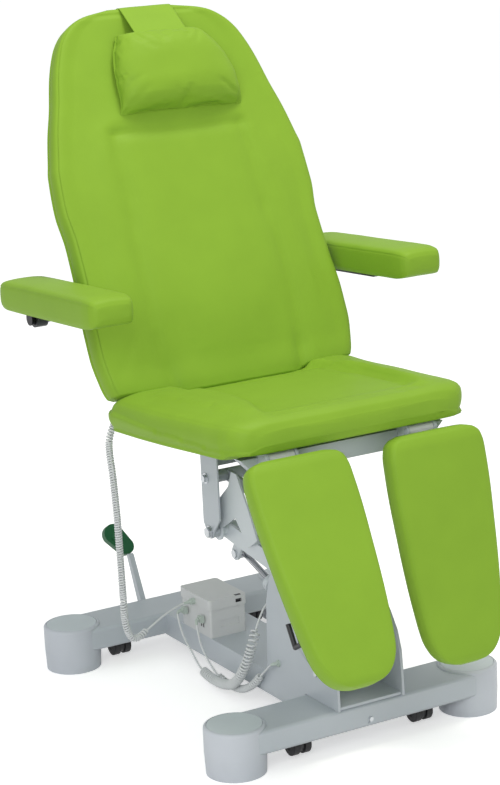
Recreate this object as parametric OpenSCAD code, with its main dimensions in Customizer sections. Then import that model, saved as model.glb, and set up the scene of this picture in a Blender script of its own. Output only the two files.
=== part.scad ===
// Podiatry chair: H base with let-down castors, parallelogram lift, reclining back,
// two armrests and two separate leg rests. Millimetres, +Z up, the chair faces -Y.

/* [Base] */
// Distance of the foot centres from the middle, across
foot_x = 267.5; // [250:0.5:320]
// Distance of the foot centres from the middle, lengthwise
foot_y = 349.5; // [320:0.5:420]
// Diameter of a foot
foot_d = 120; // [116:1:130]
// Height of a foot
foot_h = 96; // [94:1:102]
// Width of the cross beams
beam_w = 114; // [106:1:116]
// Height of the cross beams and the spine
beam_h = 49; // [46:1:52]
// Top of the beams above the floor
beam_top = 91; // [90:1:93]
// Wall of the beams
beam_wall = 4; // [3:0.5:5]
// Width of the spine
spine_w = 140; // [132:1:142]
// Width of the control box
box_w = 90; // [80:1:96]
// Length of the control box
box_l = 130; // [120:1:140]
// Height of the control box
box_h = 83; // [76:1:90]

/* [Pedestal and lift] */
// Thickness of the pedestal plates
ped_t = 6; // [5:0.5:7]
// Depth of the pedestal over the base
ped_l = 265; // [260:1:270]
// Height of the pedestal profile
ped_h = 336; // [330:1:340]
// Front pivot of the lower arm, lengthwise
arm_y = -240; // [-243:1:-238]
// Front pivot of the lower arm above the floor
arm_z = 315; // [312:1:318]
// Length of the lift arms, lengthwise
arm_run = 252; // [249:1:255]
// Rise of the lift arms at rest
arm_rise = 35; // [32:1:38]
// Height between the two pivots of the parallelogram
link_gap = 112; // [110:1:114]
// Diameter of the lift pins
pin_d = 16; // [14:0.5:17]
// Thickness of the cheeks of the lift arm
cheek_t = 4; // [3:0.5:4.5]
// Diameter of the actuator rod
rod_d = 13; // [11:0.5:14]
// Diameter of the actuator tube
tube_d = 33; // [31:0.5:36]

/* [Seat] */
// Width of the seat cushion
seat_w = 578; // [560:1:590]
// Length of the seat cushion
seat_l = 492; // [480:1:500]
// Thickness of the seat cushion
seat_t = 80; // [76:1:82]
// Height of the underside of the seat at its rear
seat_z = 576; // [575:1:580]
// Slope of the seat, up toward the front
seat_tilt = 3.6; // [3:0.1:4]
// Height of the seat rails
rail_h = 28; // [24:1:29]
// Width of the seat rails
rail_w = 30; // [26:1:32]

/* [Back] */
// Lean of the back at rest
back_lean = 24.06; // [23:0.1:25]
// Length of the back above the seat
back_l = 751; // [700:1:780]
// Width of the back at its widest
back_w = 584; // [540:1:588]
// Thickness of the back cushion
back_t = 52; // [48:1:54]
// Width of the head pillow
pillow_w = 284; // [260:1:300]
// Height of the head pillow
pillow_h = 172; // [160:1:176]
// Thickness of the head pillow
pillow_t = 56; // [50:1:64]

/* [Armrests] */
// Distance of the armrest pads from the middle
armrest_x = 350; // [348:1:360]
// Width of an armrest pad
armrest_w = 95; // [86:1:97]
// Length of an armrest pad
armrest_l = 424; // [400:1:430]
// Thickness of an armrest pad
armrest_t = 57; // [52:1:60]

/* [Leg rests] */
// Distance of the leg rests from the middle
leg_x = 155; // [153:1:160]
// Lean of the left leg rest
leg_lean_left = 30; // [20:1:35]
// Lean of the right leg rest
leg_lean_right = 13; // [12:1:30]
// Length of a leg pad
leg_l = 452; // [440:1:470]
// Width of a leg pad at its widest
leg_w = 217; // [200:1:220]
// Thickness of a leg pad
leg_t = 44; // [40:1:48]
// Side of the square leg tube
leg_tube = 30; // [28:1:34]

/* [Castors and pedal] */
// Diameter of a castor wheel
castor_d = 44; // [40:1:46]
// Width of a castor wheel
castor_w = 14; // [12:1:15]
// Distance of the front castors from the middle
castor_x_front = 140; // [130:1:150]
// Distance of the rear castors from the middle
castor_x_rear = 165; // [155:1:175]
// Length of the pedal pad
pedal_l = 80; // [70:1:90]
// Width of the pedal pad
pedal_w = 46; // [40:1:52]

/* [Cords] */
// Diameter of the cord
cord_d = 4.4; // [4:0.1:4.8]
// Outer diameter of the curls
curl_d = 15; // [13:0.5:16]

/* [Hidden] */
$fn = 48;

grey = [0.70, 0.73, 0.75];
grey_light = [0.78, 0.80, 0.82];
green = [0.52, 0.72, 0.16];
black = [0.09, 0.09, 0.10];

// Shift that puts the middle of the outline at the origin
frame_shift = 57;
// Overrun of every cut
cut = 1;
// Running clearance of pins
fit = 0.1;
// Gap between faces of bodies that pass each other
gap = 0.6;
// Soft solids stay this far off their neighbours
soft_gap = 0.3;

// Share of its radius at which a bar's side starts on its end circle
within = 0.995;

foot_r = foot_d / 2;
lid_r = 54;
lid_h = 3;
foot_round = 6;
beam_round = 8;
beam_low = beam_top - beam_h;
spine_r = spine_w / 2;
beam_face = foot_y + beam_w / 2;
beam_back = foot_y - beam_w / 2;

ped_lip = 6.5;
ped_front = -beam_face - ped_lip;
ped_out = spine_r + ped_t;
ped_toe_y = 56;
ped_toe_low = 38;
ped_floor_t = 6;
ped_web_h = 78;
pivot_boss = 22;
arm_pivot = [arm_y, arm_z];
link_lean = 5;
link_pivot = [arm_y + link_lean, arm_z + link_gap];
carrier_low = arm_pivot + [arm_run, arm_rise];
carrier_high = link_pivot + [arm_run, arm_rise];
pin_r = pin_d / 2;
pin_head = 2.5;
pin_out = ped_out + pin_head;

// Outline of the pedestal plate, as shares of its depth and height
ped_profile_shares = [[0, 0], [0.004, 0.11], [0.019, 0.27], [0.064, 0.38], [0.147, 0.48],
    [0.245, 0.57], [0.37, 0.66], [0.46, 0.72], [0.545, 0.83], [0.57, 1], [0.76, 1],
    [0.842, 0.74], [0.917, 0.59], [0.966, 0.46], [1, 0.02], [1, 0]];

bar_x = 62;
bar_t = 6;
bar_r = 18;
cheek_x = ped_out + cheek_t;
cheek_boss = 20;
arm_tube_r = 10;
arm_tube_at = arm_pivot + [0.5 * arm_run, 1.2 * arm_rise];
// Outline of a cheek about the rear pivot, as shares of the arm's run
cheek_shares = [[-0.266, 0.548], [-0.206, 0.413], [-0.067, 0.294], [0.131, 0.111], [0.02, -0.02],
    [-0.294, 0.175], [-0.488, -0.024], [-0.631, 0.067], [-0.512, 0.286], [-0.429, 0.413],
    [-0.345, 0.544]];
lug_x = 14;
lug_t = 6;
lug_r = 14;
rod_reach = 300;
rod_drop = 40;
actuator_front = 95;
actuator_drop = 169;
rod_at = arm_pivot + [rod_reach, -rod_drop];
actuator_at = arm_pivot - [actuator_front, actuator_drop];
rod_r = rod_d / 2;
tube_r = tube_d / 2;
actuator_pin_r = 6;
eye_w = 24;
rod_line = rod_at - actuator_at;
rod_len = norm(rod_line);
rod_angle = atan2(rod_line[1], rod_line[0]);
tube_end = 302;
tube_play = 2.2;
cap_l = 14;
cap_proud = 3;
gear_l = 76;
gear_h = 56;
gear_w = 64;
motor_r = 20;
motor_l = 120;
motor_x = 36;
stub_at = 241;
stub_r = 4;
stub_out = 22;

link_x = 50;
link_r = 13;
carrier_x = 98;
carrier_t = 4;
carrier_front = -30;
carrier_rear = 37;
carrier_top = 566;
carrier_boss = 14;
bolt_head_r = 11;
bolt_head_h = 6;
washer_r = 13;
washer_t = 2;
wing_h = 24;
web_t = 4;
web_h = 46;

seat_rear = 90;
seat_front = seat_rear - seat_l;
seat_slope = tan(seat_tilt);
rail_x = 143;
rail_rear = 122;
rail_drop = 5;
cross_w = 20;
cross_h = 23;
back_pivot = [112, 612];
back_pin_r = 7;
back_lug_r = 16;
back_lug_t = 6;
weld = 2;
front_rail_l = 452;
front_rail_y = -334;
front_rail_w = 30;
front_rail_h = 36;
leg_hinge_y = -370;
leg_hinge_z = 600;
leg_eye_in = 28;
leg_eye_t = 6;
leg_eye_r = 14;
leg_pin_r = 6;

back_base = [58.2, 700];
// Places in the back's own frame: x across, y to the rear, z up along the back
function to_back(p) = let (d = p - back_base)
    [d[0] * cos(back_lean) - d[1] * sin(back_lean), d[0] * sin(back_lean) + d[1] * cos(back_lean)];
back_hinge = to_back(back_pivot);
upright_x = 115;
upright_w = 22;
upright_d = 24;
upright_top = 560;
upright_y = back_t + soft_gap;
armrest_hinge = [253, 790];
armrest_hinge_b = to_back(armrest_hinge);
armrest_tube_r = 12;
armrest_cap_l = 8;
bracket_t = 6;
bracket_r = 19;
back_arm_r = 50;
back_arm_angle = -52;
back_rod_at = back_pivot + back_arm_r * [cos(back_arm_angle), sin(back_arm_angle)];
back_act_at = [-200, 528];
back_bar_low = 556;
back_bar_h = 24;
back_bar_lug_x = 17;
back_line = back_rod_at - back_act_at;
back_angle = atan2(back_line[1], back_line[0]);
back_act_l = norm(back_line);
back_tilt = 0.69;
back_tube_r = 16;
back_tube_end = 214;
back_rod_r = 7;
back_tube_play = 5;
back_eye_w = 16;

armrest_z = 829;
armrest_front = -111;
armrest_slope = 3;
armrest_arm_t = 8;
armrest_arm_w = 24;
armrest_hub_r = 19;

leg_hinge_tube_r = 11;
leg_pad_gap = 13;
leg_pad_start = 4;
leg_tube_l = 375;
leg_tube_wall = 2.5;
leg_slide_play = 0.4;
leg_slide_top = 190;
leg_slide_end = 424;
leg_foot_l = 38;
leg_knob_r = 14;
leg_knob_l = 20;
leg_knob_at = 354;
leg_lever_at = 250;
leg_lever_l = 90;
leg_lever_r = 5;
leg_lever_u = 26;

castor_r = castor_d / 2;
castor_clear = 8;
castor_trail = 14;
castor_axle_r = 4;
castor_web = 10;
carriage_t = 6;
carriage_low = 62;
carriage_w = 50;
guide_x = 90;
guide_r = 4;
guide_low = 43;
guide_head_r = 6;
guide_head_h = 3;
castor_places = [[-castor_x_front, -foot_y], [castor_x_front, -foot_y],
    [-castor_x_rear, foot_y], [castor_x_rear, foot_y]];

pedal_x = -57;
pedal_hinge = [beam_face + 17, 66];
pedal_pin_r = 5;
pedal_lever_w = 12;
pedal_lever_t = 12;
pedal_at = [-71, 500, 204];
pedal_thick = 16;

box_x = -28;
box_y = 151;
box_gap = 0;
cover_h = 22;
cover_proud = 3;

curl_rings = 6;
curl_sides = 5;
cord_r = cord_d / 2;
curl_r = curl_d / 2 - cord_r;
curl_r_small = 4.6;

// Routes of the cords: places in millimetres, and the curls up to the next place
hand_route = [[-222, 115.5, 644.5], [-222, 112.2, 637.5], [-223, 109.5, 630], [-246, 105, 602], [-270, 104, 550], [-266, 105, 470],
    [-262, 106, 385], [-260, 108, 300], [-258, 110, 215], [-255, 114, 165], [-244, 118, 130],
    [-225, 124, 118], [-195, 132, 128], [-150, 142, 146], [-110, 150, 156], [-90, 152, 158],
    [-82, 152, 158]];
hand_curls = [0, 0, 0, 5, 9, 10, 10, 9, 4, 2, 0, 0, 0, 0, 0, 0];
lift_route = [[-82, 190, 128], [-88, 190, 128], [-96, 186, 122], [-100, 160, 88], [-100, 120, 56], [-100, 80, 32],
    [-100, 10, 26], [-100, -52, 44], [-100, -98, 90], [-92, -118, 140], [-78, -116, 176],
    [-60, -112, 206], [-44, -108, 220], [-32, -106, 220.8], [-22.4, -106, 220.8]];
lift_curls = [0, 0, 0, 0, 0, 6, 5, 5, 4, 4, 0, 0, 0, 0];
base_route = [[-82, 118, 128], [-86, 118, 128], [-90, 114, 120], [-87, 100, 70], [-86, 40, 30], [-86, -40, 26],
    [-86, -96, 48], [-86, -140, 84], [-86, -170, 110], [-88, -188, 122], [-87, -194, 125], [-83, -196, 125],
    [-79, -196, 125]];
base_curls = [0, 0, 0, 0, 5, 4, 3, 0, 0, 0, 0, 0];

// Helpers

module place() {
    translate([0, frame_shift, 0]) children();
}

// Plate whose outline lies in the side view, from x outward by t
module side_plate(x, t) {
    translate([x, 0, 0]) rotate([90, 0, 90]) linear_extrude(t) children();
}

module both_sides() {
    for (s = [-1, 1]) scale([s, 1, 1]) children();
}

// Rod along X in the side view
module cross_rod(at, r, half) {
    translate([0, at[0], at[1]]) rotate([0, 90, 0]) cylinder(r = r, h = 2 * half, center = true);
}

// Rod along X from x0 to x1
module cross_stub(at, r, x0, x1) {
    translate([x0, at[0], at[1]]) rotate([0, 90, 0]) cylinder(r = r, h = x1 - x0);
}

// Bar with round ends of two sizes
module link2d(p, q, r1, r2) {
    d = q - p;
    a = atan2(d[1], d[0]);
    b = 90;
    translate(p) circle(r1);
    translate(q) circle(r2);
    c1 = within * r1;
    c2 = within * r2;
    polygon([p + c1 * [cos(a + b), sin(a + b)], q + c2 * [cos(a + b), sin(a + b)],
        q + c2 * [cos(a - b), sin(a - b)], p + c1 * [cos(a - b), sin(a - b)]]);
}

module rounded2d(w, h, r) {
    square([w - 2 * r, h], center = true);
    square([w, h - 2 * r], center = true);
    for (i = [-1, 1], j = [-1, 1]) translate([i * (w / 2 - r), j * (h / 2 - r)]) circle(r);
}

// Closed skin through rings of points, each a closed loop of the same count
module skin(rings) {
    n = len(rings[0]);
    m = len(rings);
    middle = [for (r = [rings[0], rings[m - 1]]) [for (k = [0:2]) [for (p = r) p[k]] * [for (p = r) 1] / n]];
    pts = concat([for (r = rings) for (p = r) p], middle);
    faces = concat(
        [for (i = [0:m - 2], j = [0:n - 1]) [i * n + j, (i + 1) * n + j, i * n + (j + 1) % n]],
        [for (i = [0:m - 2], j = [0:n - 1]) [i * n + (j + 1) % n, (i + 1) * n + j, (i + 1) * n + (j + 1) % n]],
        [for (j = [0:n - 1]) [m * n, j, (j + 1) % n]],
        [for (j = [0:n - 1]) [m * n + 1, (m - 1) * n + (j + 1) % n, (m - 1) * n + j]]);
    polyhedron(pts, faces, convexity = 6);
}

// The same rings from the other end, which turns the skin's faces over
function reversed(v) = [for (i = [len(v) - 1:-1:0]) v[i]];

function unit(v) = v / norm(v);

// Point on a smooth curve through the places, in piece i at share t
function spline(p, i, t) = let (a = p[max(i - 1, 0)], b = p[i], c = p[i + 1], d = p[min(i + 2, len(p) - 1)])
    0.5 * (2 * b + (c - a) * t + (2 * a - 5 * b + 4 * c - d) * t * t + (3 * b - a - 3 * c + d) * t * t * t);

function slope(p, i, t) = let (a = p[max(i - 1, 0)], b = p[i], c = p[i + 1], d = p[min(i + 2, len(p) - 1)])
    unit(0.5 * ((c - a) + 2 * (2 * a - 5 * b + 4 * c - d) * t + 3 * (3 * b - a - 3 * c + d) * t * t));

function total(v, n) = n <= 0 ? 0 : v[n - 1] + total(v, n - 1);

// Stations along a cord: piece, share along it and turns wound so far
function stations(curls) = concat([for (i = [0:len(curls) - 1]) let (n = curls[i] > 0 ? curls[i] * curl_rings : 3)
    for (k = [0:n - 1]) [i, k / n, total(curls, i) + curls[i] * k / n]],
    [[len(curls) - 1, 1, total(curls, len(curls))]]);

// Middle line of the cord: the route plus the curls, which grow and fade over one turn
function wind(p, s, all, r, across) = let (c = spline(p, s[0], s[1]), t = slope(p, s[0], s[1]),
    e1 = unit(cross(t, across)), e2 = cross(t, e1), a = 360 * s[2],
    grow = max(0, min(1, min(s[2], all - s[2]))), k = r * grow * grow * (3 - 2 * grow))
    [c + k * (cos(a) * e1 + sin(a) * e2), cos(a) * e1 + sin(a) * e2];

module cord(p, curls, r, across) {
    st = stations(curls);
    all = total(curls, len(curls));
    w = [for (s = st) wind(p, s, all, r, across)];
    n = len(w);
    rings = [for (i = [0:n - 1]) let (q = w[i][0], t = unit(w[min(i + 1, n - 1)][0] - w[max(i - 1, 0)][0]),
        e1 = unit(w[i][1] - (w[i][1] * t) * t), e2 = cross(t, e1))
        [for (k = [0:curl_sides - 1]) q + cord_r * (cos(360 * k / curl_sides) * e1 + sin(360 * k / curl_sides) * e2)]];
    skin(rings);
    gaps = [for (i = [0:n - 1], j = [i + curl_rings - 3:1:min(i + 2 * curl_rings, n - 1)])
        if (j > i + 1 && st[j][2] - st[i][2] > 0.6)
        norm(w[i][0] - w[j][0]) - cord_d];
    echo(str("least gap of the cord to itself: ", min(gaps)));
}

// Section of a cushion: across share and height share, from the left over the top to the right
seat_section_shares = [[-0.94, 0.02], [-0.985, 0.2], [-1, 0.45], [-0.985, 0.7], [-0.93, 0.88], [-0.82, 0.97],
    [-0.7, 0.93], [-0.62, 0.83], [-0.56, 0.80], [-0.4, 0.82], [-0.15, 0.83], [0.15, 0.83], [0.4, 0.82],
    [0.56, 0.80], [0.62, 0.83], [0.7, 0.93], [0.82, 0.97], [0.93, 0.88], [0.985, 0.7], [1, 0.45],
    [0.985, 0.2], [0.94, 0.02], [0.5, 0], [-0.5, 0]];
// Stations of the seat from rear to front: length, width, top, bottom lift and filling of the dish, as shares
seat_station_shares = [[0.0185, 0.93, 0.74, 0.1, 1], [0.03, 0.965, 0.86, 0.02, 1], [0.06, 0.995, 0.95, 0, 0.95],
    [0.2, 0.995, 1, 0, 0.3], [0.45, 0.985, 1, 0, 0], [0.7, 0.955, 1, 0, 0], [0.87, 0.935, 1.02, 0, 0],
    [0.9, 0.92, 1.01, 0.061, 0], [0.927, 0.91, 1, 0.122, 0], [0.945, 0.894, 0.98, 0.12, 0], [0.96, 0.875, 0.95, 0.12, 0], [0.986, 0.82, 0.85, 0.15, 0], [1, 0.72, 0.68, 0.3, 0]];
// Height share of a seat section point once the dish is filled
function filled(q, f) = abs(q[0]) < 0.75 && q[1] > 0.5 ? q[1] + f * (0.96 - q[1]) : q[1];

back_section_shares = [[-0.95, 0.04], [-0.99, 0.2], [-1, 0.5], [-0.98, 0.82], [-0.93, 0.97], [-0.8, 1.0],
    [-0.66, 0.97], [-0.58, 0.9], [-0.53, 0.87], [-0.4, 0.92], [-0.15, 0.95], [0.15, 0.95], [0.4, 0.92],
    [0.53, 0.87], [0.58, 0.9], [0.66, 0.97], [0.8, 1.0], [0.93, 0.97], [0.98, 0.82], [1, 0.5],
    [0.99, 0.2], [0.95, 0.04], [0.5, 0], [-0.5, 0]];
// Outline of the back: height and half width, as shares of its length and half width
back_outline_shares = [[-0.056, 0.9], [-0.048, 0.945], [-0.02, 0.975], [0.06, 1], [0.13, 0.996], [0.236, 0.972],
    [0.36, 0.961], [0.45, 0.988], [0.556, 0.981], [0.592, 0.96], [0.668, 0.914], [0.742, 0.855], [0.834, 0.79],
    [0.905, 0.715], [0.94, 0.65], [0.965, 0.57], [0.985, 0.46], [1, 0.27]];
// Thickness of the back along its outline
back_thick_shares = [[-0.056, 0.7], [-0.046, 0.86], [0, 1.05], [0.15, 1.14], [0.4, 1.0], [0.7, 0.9], [0.9, 0.84],
    [0.97, 0.8], [1, 0.55]];

plain_section_shares = [[-0.96, 0.1], [-1, 0.5], [-0.965, 0.82], [-0.86, 0.95], [-0.5, 0.99], [0, 1],
    [0.5, 0.99], [0.86, 0.95], [0.965, 0.82], [1, 0.5], [0.96, 0.1], [0.86, 0], [-0.86, 0]];
leg_outline_shares = [[0, 0.66], [0.012, 0.83], [0.04, 0.945], [0.1, 0.995], [0.2, 1], [0.45, 0.955], [0.62, 0.905],
    [0.78, 0.83], [0.87, 0.765], [0.93, 0.655], [0.97, 0.51], [0.99, 0.36], [1, 0.2]];
leg_thick_shares = [[0, 0.6], [0.02, 0.88], [0.06, 1], [0.9, 1], [0.96, 0.95], [0.99, 0.8], [1, 0.55]];
armrest_outline_shares = [[0, 0.72], [0.012, 0.86], [0.04, 0.96], [0.1, 1], [0.3, 1], [0.7, 1], [0.9, 1],
    [0.96, 0.96], [0.988, 0.86], [1, 0.72]];
armrest_thick_shares = [[0, 0.45], [0.01, 0.68], [0.04, 0.88], [0.1, 0.98], [0.3, 1], [0.9, 1], [0.96, 0.9],
    [0.99, 0.7], [1, 0.45]];
pillow_section_shares = [[-0.96, 0.06], [-1, 0.3], [-0.97, 0.62], [-0.84, 0.86], [-0.5, 0.98], [0, 1],
    [0.5, 0.98], [0.84, 0.86], [0.97, 0.62], [1, 0.3], [0.96, 0.06], [0.6, 0], [-0.6, 0]];
// Stations of the pillow from below: height, middle, half width and thickness, as shares
pillow_station_shares = [[0, 0.095, 0.93, 0.3], [0.05, 0.095, 0.97, 0.55], [0.15, 0.094, 1, 0.84], [0.38, 0.085, 0.985, 1],
    [0.6, 0.07, 0.93, 1], [0.75, 0.055, 0.83, 0.97], [0.88, 0.043, 0.72, 0.86], [0.97, 0.033, 0.62, 0.62], [1, 0.03, 0.58, 0.38]];

// Base

module beam(y) {
    translate([0, y, beam_low + beam_h / 2]) rotate([90, 0, 90])
        linear_extrude(2 * foot_x, center = true) rounded2d(beam_w, beam_h, beam_round);
}

module base_frame() {
    inner_w = beam_w - 2 * beam_wall;
    color(grey) place() difference() {
        union() {
            beam(-foot_y);
            beam(foot_y);
            translate([0, 0, beam_low + beam_h / 2]) cube([spine_w, 2 * beam_back + 2 * beam_wall, beam_h], center = true);
        }
        for (y = [-foot_y, foot_y]) translate([0, y, beam_low - cut + (beam_h - beam_wall + cut) / 2])
            cube([2 * foot_x, inner_w, beam_h - beam_wall + cut], center = true);
        translate([0, 0, beam_low - cut + (beam_h - beam_wall + cut) / 2])
            cube([spine_w - 2 * beam_wall, 2 * beam_back + 3 * beam_wall, beam_h - beam_wall + cut], center = true);
        for (x = [-foot_x, foot_x], y = [-foot_y, foot_y]) translate([x, y, 0]) cylinder(r = foot_r, h = foot_h + cut, $fn = 64);
        for (s = [-1, 1]) translate([0, s * beam_face, beam_low + beam_h / 3]) rotate([90 * s, 0, 0])
            translate([0, 0, -cut]) cylinder(r = pin_r / 3, h = beam_wall + 2 * cut);
        translate([-1.6 * castor_axle_r, -beam_face - cut, beam_low + pin_r]) cube([pin_r / 2, beam_wall / 2 + cut, pin_r / 2]);
    }
    color(grey) place() for (x = [-guide_x, guide_x], y = [-foot_y, foot_y]) translate([x, y, guide_low]) {
        cylinder(r = guide_r, h = beam_top - beam_wall / 2 - guide_low);
        cylinder(r = guide_head_r, h = guide_head_h);
    }
}

module foot() {
    rotate_extrude($fn = 64) difference() {
        union() {
            polygon([[0, 0], [foot_r - foot_round / 3, 0], [foot_r - foot_round / 6, beam_low / 2], [foot_r, beam_low],
                [foot_r, foot_h - foot_round], [0, foot_h - foot_round]]);
            translate([0, foot_h - foot_round]) square([foot_r - foot_round, foot_round]);
            translate([foot_r - foot_round, foot_h - foot_round]) intersection() {
                circle(foot_round);
                square(foot_round);
            }
        }
        translate([0, foot_h - lid_h]) square([lid_r, lid_h + cut]);
    }
}

module feet() {
    color(grey_light) place()
        for (x = [-foot_x, foot_x], y = [-foot_y, foot_y]) translate([x, y, 0]) foot();
}

module foot_lids() {
    color(grey) place() for (x = [-foot_x, foot_x], y = [-foot_y, foot_y])
        translate([x, y, foot_h - lid_h]) cylinder(r1 = lid_r, r2 = lid_r - lid_h / 3, h = lid_h, $fn = 64);
}

module pedestal_profile() {
    top = ped_profile_shares;
    difference() {
        union() {
            polygon([for (s = top) [ped_front + s[0] * ped_l, beam_top + s[1] * ped_h]]);
            translate(link_pivot) circle(pivot_boss);
            polygon([[-beam_back, beam_top - ped_toe_low], [-beam_back, beam_top], [ped_front + ped_l, beam_top],
                [ped_front + ped_l + ped_toe_y / 4, beam_top - ped_toe_low / 2],
                [ped_front + ped_l + ped_toe_y, beam_top - 0.8 * ped_toe_low],
                [ped_front + ped_l + ped_toe_y, beam_top - ped_toe_low]]);
            square_at = [-beam_back, beam_top];
            translate(square_at) translate([0, -cut]) square([ped_front + ped_l + beam_back, 2 * cut]);
        }
        translate(arm_pivot) circle(pin_r);
        translate(link_pivot) circle(pin_r);
        translate(actuator_at) circle(actuator_pin_r);
    }
}

module pedestal() {
    web_y = ped_front + ped_l - ped_t;
    color(grey) place() union() {
        both_sides() side_plate(spine_r, ped_t) pedestal_profile();
        translate([-spine_r, ped_front + ped_t, beam_top]) cube([spine_w, ped_l - 2 * ped_t, ped_floor_t]);
        translate([-spine_r, web_y - ped_t, beam_top]) cube([spine_w, ped_t, ped_web_h]);
    }
}

module lift_pins() {
    color(grey_light) place() {
        cross_rod(arm_pivot, pin_r, pin_out);
        cross_rod(link_pivot, pin_r, pin_out);
        cross_rod(actuator_at, actuator_pin_r, pin_out);
    }
}

module box_at() {
    translate([box_x, box_y, beam_top]) children();
}

module control_box() {
    color(grey) place() box_at() difference() {
        linear_extrude(box_h - cover_h) rounded2d(box_w - 2 * cover_proud, box_l - 2 * cover_proud, beam_round / 2);
        for (i = [0:1]) translate([-box_w / 2 - cut, -box_l / 4 + i * box_l / 14, box_h / 5])
            cube([2 * cut + cover_proud, beam_wall, box_h / 4]);
        translate([-box_w / 5, -box_l / 2 - cut, box_h / 4]) cube([box_w / 2, cut + cover_proud + beam_wall / 2, box_h / 6]);
    }
}

module box_cover() {
    color(grey) place() box_at() translate([0, 0, box_h - cover_h]) difference() {
        linear_extrude(cover_h) rounded2d(box_w, box_l, beam_round);
        translate([box_w / 5, -box_l / 2 - cut, cover_h / 3]) cube([box_w / 6, beam_wall + cut, cover_h / 3]);
    }
}

plug_w = 14;
plug_l = 9;
plug_wall = 1;
box_side = box_x - box_w / 2 + cover_proud;

// Plugs on the left face of the box, cord stub at the lift actuator and gland at the pedestal
module box_plugs() {
    color(grey_light) place() {
        for (p = [lift_route[0], base_route[0]])
            translate([p[0] + plug_l / 2 + soft_gap, p[1], p[2]]) {
                cube([plug_l, plug_w, plug_w], center = true);
            }
        translate(hand_route[16]) rotate([0, 90, 0]) cylinder(r = plug_w / 2, h = box_x - box_w / 2 - hand_route[16][0]);
        for (p = [lift_route[0], base_route[0]]) translate([p[0] + plug_l / 2, p[1], p[2]]) rotate([0, 90, 0])
            cylinder(r = cord_r + plug_wall, h = box_side - p[0] - plug_l / 2);
        translate(base_route[12]) rotate([0, 90, 0])
            cylinder(r = plug_w / 2, h = -ped_out - base_route[12][0]);
    }
}

module beam_bolts() {
    color(grey_light) place() for (s = [-1, 1]) translate([0, s * beam_face, beam_low + beam_h / 3])
        rotate([-90 * s, 0, 0]) {
            cylinder(r = pin_r / 1.6, h = pin_r / 2, $fn = 6);
            translate([0, 0, -beam_wall - pin_r]) cylinder(r = pin_r / 3, h = beam_wall + pin_r);
        }
}

module pedal_bracket() {
    inner = pedal_lever_w / 2 + gap;
    color(grey) place() translate([pedal_x, 0, 0]) {
        difference() {
            union() {
                both_sides() side_plate(inner, beam_wall) difference() {
                    union() {
                        link2d([beam_face + pedal_pin_r, pedal_hinge[1]], pedal_hinge, 2 * pedal_pin_r, 2 * pedal_pin_r);
                    }
                    translate([beam_face - 4 * pedal_pin_r, 0]) square([4 * pedal_pin_r, beam_top]);
                    translate(pedal_hinge) circle(pedal_pin_r);
                }
            }
        }
        cross_rod(pedal_hinge, pedal_pin_r, inner + beam_wall);
    }
}

module cord_hand() {
    color(grey_light) place() cord(hand_route, hand_curls, curl_r, [0, 1, 0]);
}

module cord_lift() {
    color(grey_light) place() cord(lift_route, lift_curls, curl_r_small, [1, 0, 0.25]);
}

module cord_base() {
    color(grey_light) place() cord(base_route, base_curls, curl_r_small, [1, 0, 0.25]);
}

// Castors and pedal

module castor_carriage() {
    color(grey) place() difference() {
        union() {
            for (s = [-1, 1]) {
                reach = (s < 0 ? castor_x_front : castor_x_rear) + carriage_w / 2;
                translate([-reach, s * foot_y - carriage_w / 2, carriage_low]) cube([2 * reach, carriage_w, carriage_t]);
            }
            translate([-carriage_w / 2, -foot_y, carriage_low]) cube([carriage_w, 2 * foot_y, carriage_t]);
        }
        for (p = castor_places) translate([p[0], p[1], carriage_low - cut]) cylinder(r = castor_axle_r + fit, h = carriage_t + 2 * cut);
        for (x = [-guide_x, guide_x], y = [-foot_y, foot_y]) translate([x, y, carriage_low - cut])
            cylinder(r = guide_r + fit, h = carriage_t + 2 * cut);
    }
}

module castor_fork(i) {
    p = castor_places[i];
    axle_z = castor_clear + castor_r;
    color(black) place() translate([p[0], p[1], 0]) {
        translate([0, -castor_trail, axle_z]) rotate([0, 90, 0]) {
            cylinder(r = castor_axle_r, h = castor_web + 2 * castor_w + 2 * gap, center = true);
            cylinder(r = castor_r - beam_wall, h = castor_web, center = true);
        }
        translate([0, 0, axle_z + castor_r + gap]) cylinder(r = castor_web, h = carriage_low - axle_z - castor_r - gap - soft_gap);
        translate([-castor_web / 2, -castor_trail, axle_z]) cube([castor_web, castor_trail + castor_web, castor_r + 2 * gap]);
        translate([0, 0, axle_z + castor_r]) cylinder(r = castor_axle_r, h = carriage_low + carriage_t + castor_axle_r - axle_z - castor_r);
    }
}

module castor_wheels(i) {
    p = castor_places[i];
    color(black) place() translate([p[0], p[1] - castor_trail, castor_clear + castor_r]) both_sides()
        translate([castor_web / 2 + gap, 0, 0]) rotate([0, 90, 0]) rotate_extrude() difference() {
            polygon([[castor_axle_r + fit, 0], [castor_r, 0], [castor_r, castor_w - cut], [castor_r - 2 * cut, castor_w],
                [castor_r / 2, castor_w], [castor_r / 2 - cut, castor_w - cut], [castor_axle_r + fit, castor_w - cut]]);
        }
}

module castor_fork_fl() { castor_fork(0); }
module castor_fork_fr() { castor_fork(1); }
module castor_fork_rl() { castor_fork(2); }
module castor_fork_rr() { castor_fork(3); }
module castor_wheels_fl() { castor_wheels(0); }
module castor_wheels_fr() { castor_wheels(1); }
module castor_wheels_rl() { castor_wheels(2); }
module castor_wheels_rr() { castor_wheels(3); }

pedal_foot = [pedal_at[1] - 0.36 * pedal_l, pedal_at[2] - 0.41 * pedal_l];
pedal_angle = atan2(pedal_at[2] - pedal_hinge[1], pedal_at[1] - pedal_hinge[0]);

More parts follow.
